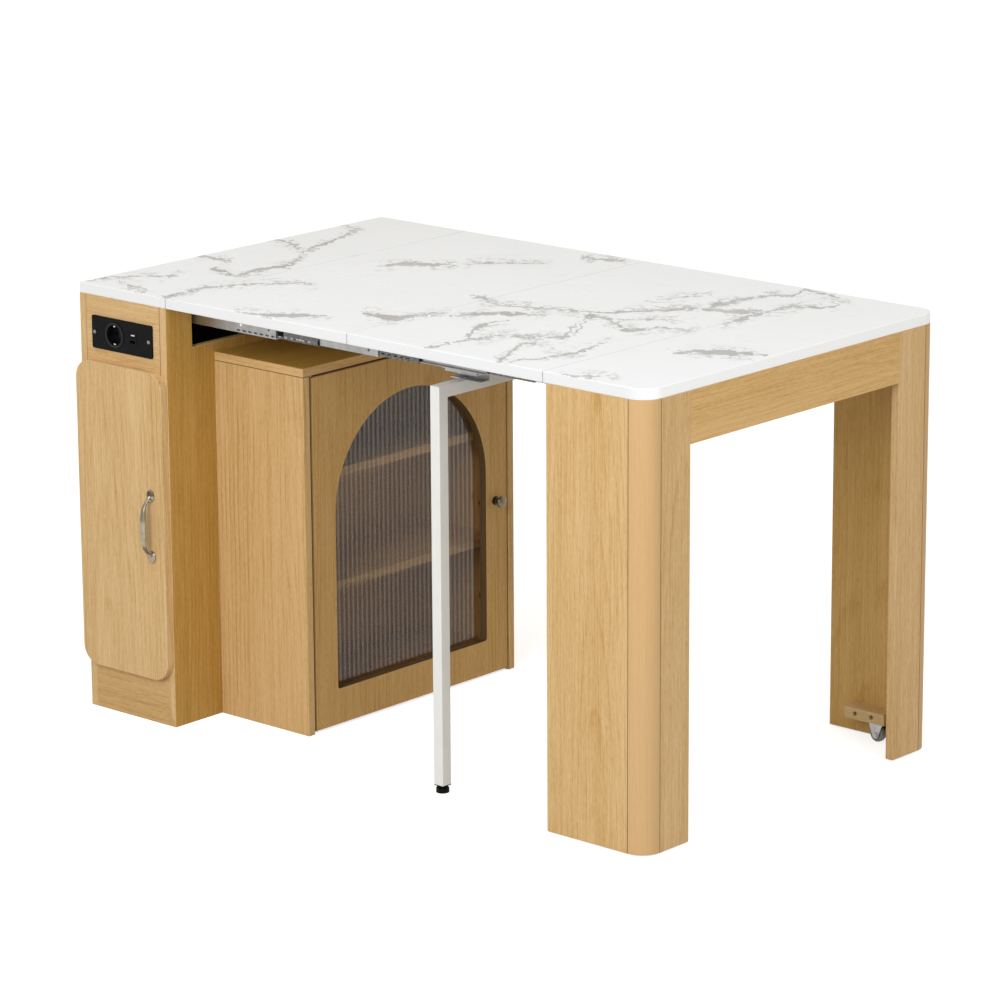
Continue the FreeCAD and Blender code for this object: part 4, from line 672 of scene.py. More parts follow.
@dataclass(frozen=True)
class Metal(Finish):
    """Bare or plated metal with patches, drawing marks and fine specks."""

    colour: Colour = (0.60, 0.61, 0.62, 1)
    shade: Colour = (0.42, 0.43, 0.45, 1)
    rough: Pair = (0.25, 0.42)
    patch: float = 60.0
    stretch: Point = (40.0, 1800.0, 1800.0)
    relief: float = 0.000012
    # Soft dark bands along one axis; on the handle they are painted dark reflections.
    dark_bands: tuple[tuple[Way, float, float], ...] = ()

    def dress(self, g: Graph, shader: bpy.types.Node) -> None:
        """Patches vary the tint, and drawing marks the gloss and the relief.

        Each dark band is a soft darkening round a place on one axis, with its half width, in millimetres.
        On the handle the bands are painted dark reflections.
        """
        where = object_place(g)
        marks = g.use(mottle_effect(), Vector=where, Patch=self.patch, Stretch=self.stretch).outputs
        tint = g.onto(marks["Scratches"], 0.35, g.times(marks["Patches"], 0.65))
        for way, spot, half in self.dark_bands:
            away = g.less(g.split(where)[way.value], float(place([spot] * 3)[way.value]))
            band = g.spread(g.size(away), half * MM * 0.4, half * MM, 1.0, 0.0, smooth=True)
            tint = g.most(g.times(tint, 0.8), band)
        self.surface(g, shader, g.blend(tint, self.colour, self.shade),
                     g.spread(tint, 0.0, 1.0, *self.rough), marks["Scratches"], self.relief, Metallic=1.0)


@dataclass(frozen=True)
class Moulded(Finish):
    """Moulded plastic, painted board or powder coat with a fine skin."""

    colour: Colour = (0.02, 0.02, 0.022, 1)
    shade: Colour = (0.03, 0.03, 0.032, 1)
    rough: Pair = (0.35, 0.5)
    patch: float = 25.0
    speck: float = 1800.0
    relief: float = 0.00002
    specular: float = 0.5

    def dress(self, g: Graph, shader: bpy.types.Node) -> None:
        """Slow patches vary colour and gloss, and specks give the skin."""
        marks = g.use(mottle_effect(), Vector=object_place(g), Patch=self.patch, Speck=self.speck).outputs
        self.surface(g, shader, g.blend(marks["Patches"], self.colour, self.shade),
                     g.spread(marks["Specks"], 0.0, 1.0, *self.rough), marks["Specks"], self.relief,
                     Specular_IOR_Level=self.specular)


@dataclass(frozen=True)
class Glass(Finish):
    """Clear or smoked glass and clear plastic."""

    tint: Colour = (0.575, 0.53, 0.45, 1)
    shade: Colour = (0.42, 0.35, 0.24, 1)
    rough: Pair = (0.01, 0.04)
    fluted: bool = False
    coat: float = 0.9
    # Painted shade: the tint darkens to the shade between these heights, going down; the clear clips, low
    # down, take it too.
    painted_shade_span: Pair = (0.68, 0.04)  # metres up, from the tint to the shade
    passed: float = 0.88  # share of shadow and diffuse rays

    def dress(self, g: Graph, shader: bpy.types.Node) -> None:
        """A tint that deepens towards the foot as painted shade, and a coat that is strongest along each
        flute's ridge.

        Light that falls on what is behind the glass mostly passes it unbent.
        """
        where = object_place(g)
        _, y, z = g.split(where)
        marks = g.use(mottle_effect(), Vector=where, Patch=9.0, Speck=400.0).outputs
        # Painted shade: darker towards the foot.
        depth = g.spread(g.onto(marks["Patches"], 0.06, z), *self.painted_shade_span)
        path = g.node("ShaderNodeLightPath").outputs
        inward = g.plus(path["Is Shadow Ray"], path["Is Diffuse Ray"], clamp=True)
        g.fill(shader, {
            "Base Color": g.blend(depth, self.tint, self.shade), "IOR": 1.46,
            "Roughness": g.spread(marks["Specks"], 0.0, 1.0, *self.rough),
            "Transmission Weight": 1.0, "Specular Tint": (0.2, 0.2, 0.2, 1),
            "Alpha": g.onto(inward, -self.passed, 1.0)})
        if self.fluted:
            start = float(CORNER[1]) + FluteSizes().near * MM
            turn = g.math("FRACT", g.math("DIVIDE", g.less(y, start), FluteSizes().pitch * MM))
            ridge = g.spread(g.size(g.less(turn, 0.5)), 0.12, 0.44, smooth=True)
            g.fill(shader, {"Coat Weight": g.times(ridge, self.coat), "Coat Roughness": 0.12})


@dataclass(frozen=True)
class FluteSizes:
    """The pane's flutes, from the tower's near left corner on the floor."""

    near: float = 207.5
    far: float = 692.5
    low: float = 67.0
    high: float = 688.5
    front: float = 482.0
    back: float = 479.0
    rise: float = 0.6
    pitch: float = 13.5
    count: int = 35
    steps: int = 14


OAK = Wood("oak_laminate", "oak_laminate")
TIMBER = Wood("planed_timber", "batten_wood", light=(0.70, 0.50, 0.27, 1), figure=0.7)
MARBLE = Marble("marble_laminate", "marble")
HARDBOARD = Moulded("painted_hardboard", "black_hardboard", colour=(0.008, 0.008, 0.009, 1),
                    shade=(0.014, 0.014, 0.015, 1), rough=(0.6, 0.8), speck=900.0, specular=0.2)
BLACK_PLASTIC = Moulded("matt_black_plastic", "black_plastic", colour=(0.0048, 0.0048, 0.0053, 1),
                        shade=(0.0073, 0.0073, 0.0078, 1), rough=(0.42, 0.56), specular=0.06)
# Partly painted shade: the socket's glossy black insert is made darker than the other black plastic, as
# the shaded recess looks.
SHADED_RECESS = Moulded("glossy_black_plastic", "black_plastic", colour=(0.0025, 0.0025, 0.003, 1),
                 shade=(0.005, 0.005, 0.0055, 1), rough=(0.22, 0.34), specular=0.22)
SCREW = Metal("dull_screw", "nickel", colour=(0.36, 0.355, 0.34, 1), shade=(0.20, 0.195, 0.185, 1),
              rough=(0.30, 0.42))
TONGUE = Moulded("contact_tongue", "grey_nylon", colour=(0.80, 0.80, 0.79, 1),
                 shade=(0.70, 0.70, 0.69, 1), rough=(0.3, 0.45))
NICKEL = Metal("nickel_plate", "nickel", colour=(0.78, 0.76, 0.71, 1), shade=(0.58, 0.56, 0.52, 1),
               rough=(0.18, 0.34))
# The handle's aged plating. Its dark bands, one over the grip's upper part and two near the feet, are
# painted dark reflections; its strong dark patches are partly the plating's wear and partly painted dark
# reflection.
AGED_NICKEL = Metal("aged_nickel_plate", "aged_nickel", colour=(0.40, 0.35, 0.27, 1),
                    shade=(0.10, 0.08, 0.05, 1), rough=(0.18, 0.42), patch=90.0,
                    stretch=(900.0, 900.0, 120.0),
                    dark_bands=((Way.Z, 458.0, 30.0), (Way.Z, 378.0, 14.0), (Way.Z, 494.0, 8.0)))
# Darker round the knob's foot, by the door.
BRONZE = Metal("dark_bronze_plate", "dark_bronze", colour=(0.27, 0.225, 0.15, 1),
               shade=(0.035, 0.026, 0.018, 1), rough=(0.24, 0.42), patch=200.0,
               stretch=(500.0, 1500.0, 1500.0), dark_bands=((Way.X, 503.0, 13.0),))
ZINC = Metal("zinc_steel", "zinc", colour=(0.45, 0.445, 0.44, 1), shade=(0.30, 0.295, 0.29, 1),
             rough=(0.30, 0.46), patch=45.0)
CAGE_STEEL = Metal("cage_steel", "zinc", colour=(0.26, 0.255, 0.25, 1), shade=(0.02, 0.02, 0.021, 1),
                   rough=(0.30, 0.45), patch=200.0)
BALL_STEEL = Metal("ball_steel", "zinc", colour=(0.85, 0.86, 0.87, 1), shade=(0.70, 0.71, 0.72, 1),
                   rough=(0.08, 0.18), patch=300.0)
WHITE_STEEL = Moulded("white_powder_coat", "white_steel", colour=(0.79, 0.77, 0.735, 1),
                      shade=(0.75, 0.73, 0.695, 1), rough=(0.32, 0.44), speck=700.0, relief=0.00003)
NYLON = Moulded("moulded_nylon", "grey_nylon", colour=(0.32, 0.31, 0.295, 1), shade=(0.26, 0.25, 0.24, 1),
                rough=(0.45, 0.6))
CLEAR = Glass("clear_clip", "clear_plastic", tint=(0.86, 0.86, 0.84, 1), shade=(0.78, 0.78, 0.75, 1))
SMOKED = Glass("fluted_smoked_glass", "smoked_glass", fluted=True)


# ------------------------------------------------------------------ meshes

WELD, SLIVER = 1e-6, 1e-7  # metres: points that are joined, and edges that are taken out


@dataclass
class Shell:
    """Points in millimetres and the four-cornered faces between them."""

    points: np.ndarray
    faces: np.ndarray

    def moved(self, x: float = 0.0, y: float = 0.0, z: float = 0.0) -> "Shell":
        """The same shell shifted."""
        return Shell(self.points + np.array([x, y, z]), self.faces)

    def turned(self, axis: Way) -> "Shell":
        """The same shell with its own Z brought onto another axis, the others following round."""
        order = {Way.Z: [0, 1, 2], Way.X: [2, 0, 1], Way.Y: [1, 2, 0]}[axis]
        return Shell(self.points[:, order], self.faces)

    def flipped(self, axis: Way) -> "Shell":
        """The shell's mirror image along one axis, with its faces turned round."""
        return Shell(self.points * (1 - 2 * np.array(axis.unit)), self.faces[:, ::-1])

    def mirrored(self) -> "Shell":
        """The shell of the opposite long side: Y measured from there."""
        return self.flipped(Way.Y).moved(y=WORKTOP_WIDTH)


def net(rows: int, columns: int, wrap: bool) -> np.ndarray:
    """Faces of a grid of points: corner (r, c) joins (r, c+1), (r+1, c+1) and (r+1, c).

    Args:
        rows: Points one way.
        columns: Points the other way.
        wrap: Whether the last column joins the first.

    Returns:
        Four indices for each face.
    """
    row = np.arange(rows - 1)[:, None]
    column = np.arange(columns if wrap else columns - 1)[None, :]
    following = (column + 1) % columns
    corners = [row * columns + column, row * columns + following,
               (row + 1) * columns + following, (row + 1) * columns + column]
    return np.stack(np.broadcast_arrays(*corners), axis=-1).reshape(-1, 4)


def lathe(profile: Sequence[Pair], steps: int = 40) -> Shell:
    """A turned shape: the profile's height up the axis and its radius carried round it.

    Args:
        profile: Pairs of height and radius. It starts and ends on the axis for a closed shape.
        steps: Points round the axis.

    Returns:
        The shell about Z.
    """
    outline = np.array(profile, float)
    angle = np.linspace(0, 2 * math.pi, steps, endpoint=False)
    points = np.stack([outline[:, 1, None] * np.cos(angle), outline[:, 1, None] * np.sin(angle),
                       np.repeat(outline[:, :1], steps, axis=1)], axis=-1)
    return Shell(points.reshape(-1, 3), net(len(outline), steps, True))


def carry(rings: np.ndarray) -> Shell:
    """A closed bar: rings of points carried along a path, with each end drawn to its middle.

    Args:
        rings: Path stations by points round the section by three.

    Returns:
        The closed shell.
    """
    ends = [np.repeat(ring.mean(axis=0, keepdims=True), rings.shape[1], axis=0)
            for ring in (rings[0], rings[-1])]
    closed = np.concatenate([ends[0][None], rings, ends[1][None]])
    return Shell(closed.reshape(-1, 3), net(closed.shape[0], closed.shape[1], True))


def slab(low: Sequence[float], high: Sequence[float], corner: float, steps: int = 5) -> Shell:
    """A small plate with rounded upright corners and eased rims.

    The outline is a rounded rectangle: quarter circles about four centres. It is carried up Z
    through four levels, drawn in at the first and the last.
    """
    low, high = np.array(low, float), np.array(high, float)
    quarter = np.linspace(0, math.pi / 2, steps)
    angle = np.concatenate([quarter + turn * math.pi / 2 for turn in range(4)])
    signs = np.repeat(np.array([[1, 1], [-1, 1], [-1, -1], [1, -1]]), steps, axis=0)
    middle, half = (low + high) / 2, (high - low) / 2
    ease = min(corner, half[2]) * 0.3
    rings = []
    centre = middle[:2] + signs * (half[:2] - corner)
    bow = np.stack([np.cos(angle), np.sin(angle)], axis=-1)
    for level, inset in ((low[2], ease), (low[2] + ease, 0.0), (high[2] - ease, 0.0), (high[2], ease)):
        rings.append(np.column_stack([centre + (corner - inset) * bow, np.full(len(angle), level)]))
    return carry(np.array(rings))


def screw_head(radius: float, rise: float = 0.9, steps: int = 32) -> Shell:
    """A domed screw head with a cross recess, facing up Z.

    Height is the dome, rise times the root of one less the squared share of the radius, less
    the recess, which is deepest in the middle and runs out along four arms.
    """
    share = np.array([1.0, 1.0, 0.97, 0.86, 0.7, 0.58, 0.46, 0.34, 0.22, 0.1, 0.0])
    angle = np.linspace(0, 2 * math.pi, steps, endpoint=False)
    arms = np.clip(np.abs(np.cos(2 * angle)) * 2.6 - 1.6, 0, 1)[None, :]
    dome = rise * np.sqrt(np.clip(1 - (share * 0.96) ** 2, 0, 1))[:, None]
    recess = rise * 0.75 * np.clip(1.25 - share[:, None] / 0.5, 0, 1)
    level = dome - recess * np.maximum(arms, np.clip(1 - share[:, None] / 0.2, 0, 1))
    level[0] = 0.0
    radii = (share * radius)[:, None]
    points = np.stack([radii * np.cos(angle), radii * np.sin(angle),
                       np.broadcast_to(level, (len(share), steps))], axis=-1)
    return carry(points)


def ball(radius: float) -> Shell:
    """A small steel ball: a half circle turned round its axis, with few faces."""
    bow = np.linspace(0, math.pi, 6)
    return lathe(list(zip(-np.cos(bow) * radius, np.sin(bow) * radius)), 8)


def make_piece(name: str, shells: Sequence[Shell], finish: Finish, body: str,
               crease: float = 35.0, replaces: Sequence[str] = ()) -> bpy.types.Object:
    """Join shells into one mesh piece that rides on a body of the model.

    Args:
        name: The piece's name.
        shells: Its closed shells, in millimetres from the tower's corner.
        finish: Its finish.
        body: The body that it moves with.
        crease: Edges sharper than this stay sharp, in degrees.
        replaces: Nodes of the model that it stands for.

    Returns:
        The piece's object, at the origin.
    """
    starts = np.cumsum([0] + [len(shell.points) for shell in shells])
    points = place(np.concatenate([shell.points for shell in shells]))
    faces = np.concatenate([shell.faces + start for shell, start in zip(shells, starts)])
    mesh = bpy.data.meshes.new(name)
    mesh.from_pydata(points.tolist(), [], faces.tolist())
    work = bmesh.new()
    work.from_mesh(mesh)
    bmesh.ops.remove_doubles(work, verts=work.verts, dist=WELD)
    bmesh.ops.dissolve_degenerate(work, edges=work.edges, dist=SLIVER)
    bmesh.ops.recalc_face_normals(work, faces=work.faces)
    work.to_mesh(mesh)
    work.free()
    mesh.polygons.foreach_set("use_smooth", np.ones(len(mesh.polygons), bool))
    mesh.set_sharp_from_angle(angle=math.radians(crease))
    mesh.materials.append(finish.material(name if isinstance(finish, Wood) else ""))
    made = put_in_scene(name, mesh)
    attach(made, body)
    if replaces:
        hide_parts(*replaces)
    LOG.info("%s: %d faces on %s", name, len(mesh.polygons), body)
    return made


def dress_nodes(finish: Finish, *nodes: str, tag: str = "") -> None:
    """Give nodes of the model their material in every slot.

    Args:
        finish: The finish.
        *nodes: The nodes.
        tag: Added to the material's name where a node has one of its own.
    """
    material = finish.material(tag)
    for node in nodes:
        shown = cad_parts[node]
        if not shown.material_slots:
            shown.data.materials.append(material)
        for slot in shown.material_slots:
            slot.material = material
        LOG.info("%s: %s", node, material.name)


def dress_board(node: str, fibres: Way, paired: bool = False, wood: Wood = OAK,
                thin: Optional[Way] = None, **changes: object) -> None:
    """Give one board, or a pair of boards, wood whose grain is centred on it.

    Args:
        node: The node of the model.
        fibres: The way its grain runs.
        paired: Whether the node holds a near and a far board.
        wood: The wood to start from.
        thin: The way through the board, where its box doesn't tell it.
        **changes: Other values of the wood.
    """
    low, high = (np.array(corner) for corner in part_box(node))
    if paired:
        high[1] = low[1] + changes.pop("width") * MM
    size = high - low
    if thin is None:
        thin = Way(int(np.argmin(np.where(np.arange(3) == fibres.value, np.inf, size))))
    seed = float(sum(ord(letter) for letter in node) % SEEDS) * SEED_STEP
    own = replace(wood, fibres=fibres, thin=thin, middle=tuple((low + high) / 2), seed=seed, **changes)
    dress_nodes(own, node, tag=node)


# ------------------------------------------------------------------ sub-assemblies


@dataclass(frozen=True)
class Plates:
    """Small plates with rounded corners, made as one piece.

    Each plate is given by its low and its high corner. Paired ones stand on both long sides.
    """

    name: str
    body: str
    finish: Finish
    corner: float
    boxes: tuple[Box, ...]
    paired: bool = False

    def build(self) -> None:
        """Make the plates."""
        shells = [slab(low, high, self.corner) for low, high in self.boxes]
        shells += [shell.mirrored() for shell in shells if self.paired]
        make_piece(self.name, shells, self.finish, self.body)


@dataclass
class Tower:
    """The fixed cupboard with its door, its socket unit and its slide bay."""

    hinge_screw_levels: tuple[float, ...] = (200.0, 236.0, 607.0, 643.0)
    hinge_screws_y: tuple[tuple[str, str, float], ...] = (
        ("hinge_screws_fixed", "fixed_base", 11.5), ("hinge_screws_door", "tower_door", -10.5))
    leaf_thickness: float = 1.5
    screw_radius: float = 2.6
    door_thickness: float = 18.0
    grip_x: float = 212.0
    grip_middle: float = 424.0
    grip_half: float = 64.0
    grip_reach: float = 29.0
    grip_width: float = 15.6
    grip_depth: float = 8.4
    grip_gap: float = 0.2
    grip_shares: tuple[tuple[float, float, float, float], ...] = (
        (-1.0, 0.12, 0.66, 0.90), (-0.86, 0.46, 0.46, 0.66), (-0.72, 0.76, 0.50, 0.70),
        (-0.60, 0.88, 0.72, 0.80), (-0.33, 0.97, 0.94, 0.96), (0.0, 1.0, 1.0, 1.0))
    grip_stations: int = 73
    grip_steps: int = 24
    foot_steps: int = 32
    foot_half: float = 10.6
    foot_rise: float = 5.6
    foot_ends: Pair = (13.8, 12.6)  # away from the grip, and towards it
    foot_profile: tuple[Pair, ...] = (
        (1.0, 0.0), (1.0, 0.26), (0.97, 0.42), (0.90, 0.52), (0.80, 0.60), (0.60, 0.80), (0.35, 0.95),
        (0.15, 1.0))
    # The low rail that the door closes against, the upper port's contact tongue, and the tips of
    # the earth clips at the front of the socket's recess.
    stop_rail: Box = ((18.3, 0.4, 98.1), (231.7, 9.0, 111.0))
    port_tongue: Box = ((150.6, -3.0, 809.1), (161.4, 7.6, 811.2))
    clip_tips: tuple[Box, ...] = (
        ((101.3, -3.6, 820.5), (105.7, -0.6, 823.3)), ((101.3, -3.6, 783.7), (105.7, -0.6, 786.5)))

    def dress(self) -> None:
        """Finish every board and fitting that the model has."""
        for node in ("tower_left_panel", "tower_far_panel", "tower_partition"):
            dress_board(node, Way.Z)
        dress_board("tower_door", Way.Z, figure=1.4)
        # Painted shade: the right panel's broad faces tinted darker and warmer, as under the worktop's
        # overhang.
        dress_board("tower_right_panel", Way.Z, figure=1.45, broad=(0.79, 0.685, 0.355, 1))
        dress_board("tower_socket_panel", Way.X, figure=0.5, joints=((Way.X, 18.0), (Way.X, 232.0)))
        dress_board("tower_plinth", Way.X, figure=0.5, light=(0.625, 0.405, 0.187, 1))
        for node in ("tower_floor_board", "tower_bay_board", "tower_shelves"):
            dress_board(node, Way.Y)
        dress_board("fixed_slide_battens", Way.X, paired=True, width=18.0, wood=TIMBER)
        dress_nodes(HARDBOARD, "bay_liner")
        dress_nodes(MARBLE, "fixed_top")
        dress_nodes(BLACK_PLASTIC, "socket_faceplate", "usb_module", "socket_back_box")
        dress_nodes(SHADED_RECESS, "socket_insert")
        dress_nodes(NICKEL, "earth_clips", "tower_hinge_fixed_leaves", "tower_hinge_door_leaves")
        dress_nodes(SCREW, "socket_screws")

    def handle(self) -> None:
        """The bow handle: a grip carried along an arch, widest halfway, and two leaf feet.

        The arch and the half axes of its flat oval section run through stations given as shares of
        the reach, the width and the depth, blurred along the grip.
        """
        half, door = self.grip_half, -self.door_thickness
        turn = np.linspace(-1.0, 1.0, self.grip_stations)
        shares = np.array(self.grip_shares)
        station = np.concatenate([shares[:, 0], -shares[-2::-1, 0]])
        away, wide, thick = (np.interp(turn, station, np.concatenate([shares[:, i], shares[-2::-1, i]]))
                             for i in (1, 2, 3))
        blur = np.exp(-np.linspace(-2, 2, 9) ** 2)
        away, wide, thick = (np.convolve(np.pad(line, 4, mode="edge"), blur / blur.sum(), "valid")
                             for line in (away, wide, thick))
        centre_y = door - (self.grip_reach - self.grip_depth / 2) * away
        centre_z = self.grip_middle + half * turn
        slope = np.gradient(centre_y, centre_z)
        wide, thick = wide * self.grip_width / 2, thick * self.grip_depth / 2
        angle = np.linspace(0, 2 * math.pi, self.grip_steps, endpoint=False)
        length = np.sqrt(1 + slope ** 2)
        out_y, out_z = -1 / length, slope / length
        rings = np.stack([
            self.grip_x + wide[:, None] * np.cos(angle),
            centre_y[:, None] + thick[:, None] * np.sin(angle) * out_y[:, None],
            centre_z[:, None] + thick[:, None] * np.sin(angle) * out_z[:, None],
        ], axis=-1)
        rings[..., 1] = np.minimum(rings[..., 1], door - self.grip_gap)
        feet = [self.foot(self.grip_middle + half * way, way) for way in (-1, 1)]
        make_piece("bow_handle", [carry(rings), *feet], AGED_NICKEL, "tower_door", crease=60.0,
                   replaces=["door_handle"])

    def foot(self, level: float, way: int) -> Shell:
        """A handle's foot: a leaf outline, drawn out away from the grip and domed in its middle.

        The outline is an oval whose half width shrinks towards its outer end.
        """
        angle = np.linspace(0, 2 * math.pi, self.foot_steps, endpoint=False)
        outward = np.clip(np.sin(angle) * way, 0, 1)
        across = self.foot_half * np.cos(angle) * (1 - 0.14 * outward)
        up = np.sin(angle) * np.where(np.sin(angle) * way > 0, *self.foot_ends)
        share, lift = np.array(self.foot_profile).T[:, :, None]
        rings = np.stack([
            self.grip_x + share * across,
            np.broadcast_to(-self.door_thickness - self.foot_rise * lift, (len(share), len(angle))),
            level + share * up,
        ], axis=-1)
        return carry(rings)

    def hinge_screws(self) -> None:
        """Two countersunk screws in each hinge leaf, on the door's edge and on the side panel."""
        head = screw_head(self.screw_radius).turned(Way.X).flipped(Way.X)
        for name, body, y in self.hinge_screws_y:
            heads = [head.moved(-self.leaf_thickness, y, level) for level in self.hinge_screw_levels]
            make_piece(name, heads, NICKEL, body)

    def build(self) -> None:
        """Dress the tower and add its small pieces."""
        self.dress()
        low, high = self.stop_rail
        wood = replace(OAK, fibres=Way.X, middle=tuple(place((np.array(low) + high) / 2)), seed=5.0)
        Plates("door_stop_rail", "fixed_base", wood, 1.0, (self.stop_rail,)).build()
        Plates("earth_clip_tips", "fixed_base", NICKEL, 0.5, self.clip_tips).build()
        self.handle()
        self.hinge_screws()
        Plates("port_tongue", "fixed_base", TONGUE, 0.5, (self.port_tongue,)).build()


@dataclass
class LowCabinet:
    """The low cabinet, its arched door, the fluted pane and the knob."""

    flutes: FluteSizes = field(default_factory=FluteSizes)
    door_face: float = 500.0
    knob_y: float = 707.5
    knob_level: float = 382.25
    knob_reach: float = 25.0
    knob_radius: float = 12.8

    def dress(self) -> None:
        """Finish every board and fitting that the model has."""
        # Painted shade: a darker, warmer oak for the cabinet's side and top boards under the worktop.
        shade_under_worktop = dict(light=(0.67, 0.43, 0.20, 1))
        dress_board("cabinet_side_panels", Way.Z, paired=True, width=18.0, joints=((Way.Z, 750.0),),
                    figure=1.6, **shade_under_worktop)
        # Painted shade: the door's front tinted darker and warmer under the worktop, the faces round the
        # pane's opening near black, and wide dark joints as painted shadow gaps at its near side and under
        # the cabinet's top.
        dress_board("cabinet_door_frame", Way.Z, broad=(0.88, 0.81, 0.61, 1), rims=(0.16, 0.14, 0.12, 1),
                    joints=((Way.Y, 154.5), (Way.Z, 747.5)), joint_width=3.0,
                    joint_shade=(0.10, 0.05, 0.018, 1))
        # Painted shade: the cabinet's top face, under the worktop, tinted darker and warmer.
        dress_board("cabinet_top_panel", Way.Y, thin=Way.Z, joints=((Way.Z, 750.0),),
                    above=(0.70, 0.62, 0.27, 1), **shade_under_worktop)
        # Painted shade: the floor board in a darker oak, as the cabinet's inside is shaded.
        dress_board("cabinet_floor_board", Way.Y, thin=Way.Z, light=(0.52, 0.34, 0.16, 1))
        dress_board("cabinet_shelves", Way.Y, thin=Way.Z)
        dress_board("cabinet_back_panel", Way.Z)
        dress_nodes(CLEAR, "glass_clips")
        dress_nodes(NICKEL, "shelf_pins", "cabinet_door_pivots")

    def pane(self) -> None:
        """The fluted pane: flat in front, a row of shallow hollows between sharp ridges behind.

        The back's depth is the rise times the squared distance from a hollow's middle.
        """
        s = self.flutes
        share = np.linspace(-1, 1, s.steps + 1)[:-1]
        middle = s.near + s.pitch * (np.arange(s.count) + 0.5)
        across = (middle[:, None] + share * s.pitch / 2).ravel()
        depth = np.tile(s.rise * share ** 2, s.count)
        across = np.append(across, [s.near + s.pitch * s.count, s.far])
        depth = np.append(depth, [0.0, 0.0])
        back = np.column_stack([s.back - depth, across])
        front = np.column_stack([np.full(len(across), s.front), across[::-1]])
        outline = np.concatenate([back, front])
        rings = np.array([np.column_stack([outline, np.full(len(outline), level)])
                          for level in (s.low, s.high)])
        half = len(across)
        sides = Shell(rings.reshape(-1, 3), net(2, 2 * half, True))
        index = np.arange(half - 1)
        partner = 2 * half - 1 - index
        lower = np.stack([index, index + 1, partner - 1, partner], axis=-1)
        upper = lower[:, ::-1] + 2 * half
        shell = Shell(sides.points, np.concatenate([sides.faces, lower, upper]))
        make_piece("fluted_pane", [shell], SMOKED, "cabinet_door", crease=24.0,
                   replaces=["fluted_glass"])

    def knob(self) -> None:
        """The turned knob: rosette, waisted neck and flat domed crown, one profile round its axis."""
        reach, radius = self.knob_reach, self.knob_radius
        rim = np.linspace(-1.15, 1.25, 9)
        profile = [(0.0, 0.0), (0.0, 0.72), (0.05, 0.735), (0.10, 0.70), (0.13, 0.52), (0.17, 0.38),
                   (0.26, 0.30), (0.38, 0.28), (0.48, 0.34), (0.56, 0.56)]
        bow = [(0.73 + 0.13 * math.sin(a), 0.86 + 0.135 * math.cos(a)) for a in rim]
        bow += [(0.90, 0.80), (0.95, 0.60), (0.985, 0.35), (1.0, 0.12), (1.0, 0.0)]
        outline = [(h * reach, r * radius) for h, r in profile + bow]
        shell = lathe(outline, 40).turned(Way.X).moved(self.door_face, self.knob_y, self.knob_level)
        make_piece("turned_knob", [shell], BRONZE, "cabinet_door", crease=50.0, replaces=["door_knob"])

    def build(self) -> None:
        """Dress the cabinet and add the pane and the knob."""
        self.dress()
        self.pane()
        self.knob()


@dataclass(frozen=True)
class CageRun:
    """The balls in one stage's pair of cages."""

    node: str
    body: str
    depth: float
    pitch: float = 16.0
    count: int = 13
    wall: float = 0.8
    radius: float = 1.5


@dataclass
class Slides:
    """Two telescoping slides: channels, punched cages, steel balls, thin black plates and screws."""

    cages: tuple[CageRun, ...] = (
        CageRun("slide_first_cages", "first_stage", 8.9),
        CageRun("slide_centre_cages", "centre_stage", 4.7),
        CageRun("slide_rear_cages", "rear_stage", 8.9),
        CageRun("slide_end_cages", "end_frame", 4.7),
    )
    # Thin black plates on the first stage's web, at the fixed channel's end and at the first cage's end.
    stops: tuple[Plates, ...] = (
        Plates("first_cage_pads", "first_stage", BLACK_PLASTIC, 0.12,
               (((482.6, 81.6, 842.6), (500.0, 82.0, 852.2)),), paired=True),
        Plates("first_cage_stops", "first_stage", BLACK_PLASTIC, 0.12,
               (((593.4, 81.6, 838.8), (598.2, 82.0, 849.8)),), paired=True),
    )
    # Per head: name, body, place along, across and up, radius, and whether it is a painted glint in the
    # shiny ball steel rather than the dark cage steel.
    screws: tuple[tuple[str, str, float, float, float, float, bool], ...] = (
        ("fixed_channel_screws", "fixed_base", 381.5, 80.0, 850.8, 3.4, True),
        ("fixed_channel_marks", "fixed_base", 460.4, 80.0, 851.1, 2.6, False),
        ("first_channel_bolts", "first_stage", 545.0, 82.4, 842.7, 3.2, True),
        ("first_channel_screws", "first_stage", 730.0, 82.5, 849.5, 2.8, False),
    )

    def dress(self) -> None:
        """Finish the channels and the cages."""
        dress_nodes(ZINC, *("slide_%s_channels" % stage for stage in (
            "fixed", "first", "centre", "rear_outer", "rear", "end")))
        dress_nodes(CAGE_STEEL, *(run.node for run in self.cages))

    def balls(self) -> None:
        """A steel ball in every window of the cages, above and below, on both sides."""
        for run in self.cages:
            low, high = ((np.array(corner) - CORNER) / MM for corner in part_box(run.node))
            xs = low[0] + run.pitch * np.arange(1, run.count + 1)
            zs = low[2] + run.wall / 2, high[2] - run.wall / 2
            ys = low[1] + run.depth / 2, high[1] - run.depth / 2
            balls = [ball(run.radius).moved(x, y, z) for x, z, y in product(xs, zs, ys)]
            make_piece(run.node.replace("cages", "balls"), balls, BALL_STEEL, run.body)

    def fittings(self) -> None:
        """Thin black plates and screw heads on the webs of the running channels, on both slides."""
        for stop in self.stops:
            stop.build()
        for name, body, x, y, z, radius, painted_glint in self.screws:
            head = screw_head(radius).turned(Way.Y).flipped(Way.Y).moved(x, y, z)
            # Heads that are painted glints take the shiny ball steel; the others the dark cage steel.
            make_piece(name, [head, head.mirrored()], BALL_STEEL if painted_glint else CAGE_STEEL, body)

    def build(self) -> None:
        """Dress the slides and add their balls and fittings."""
        self.dress()
        self.balls()
        self.fittings()


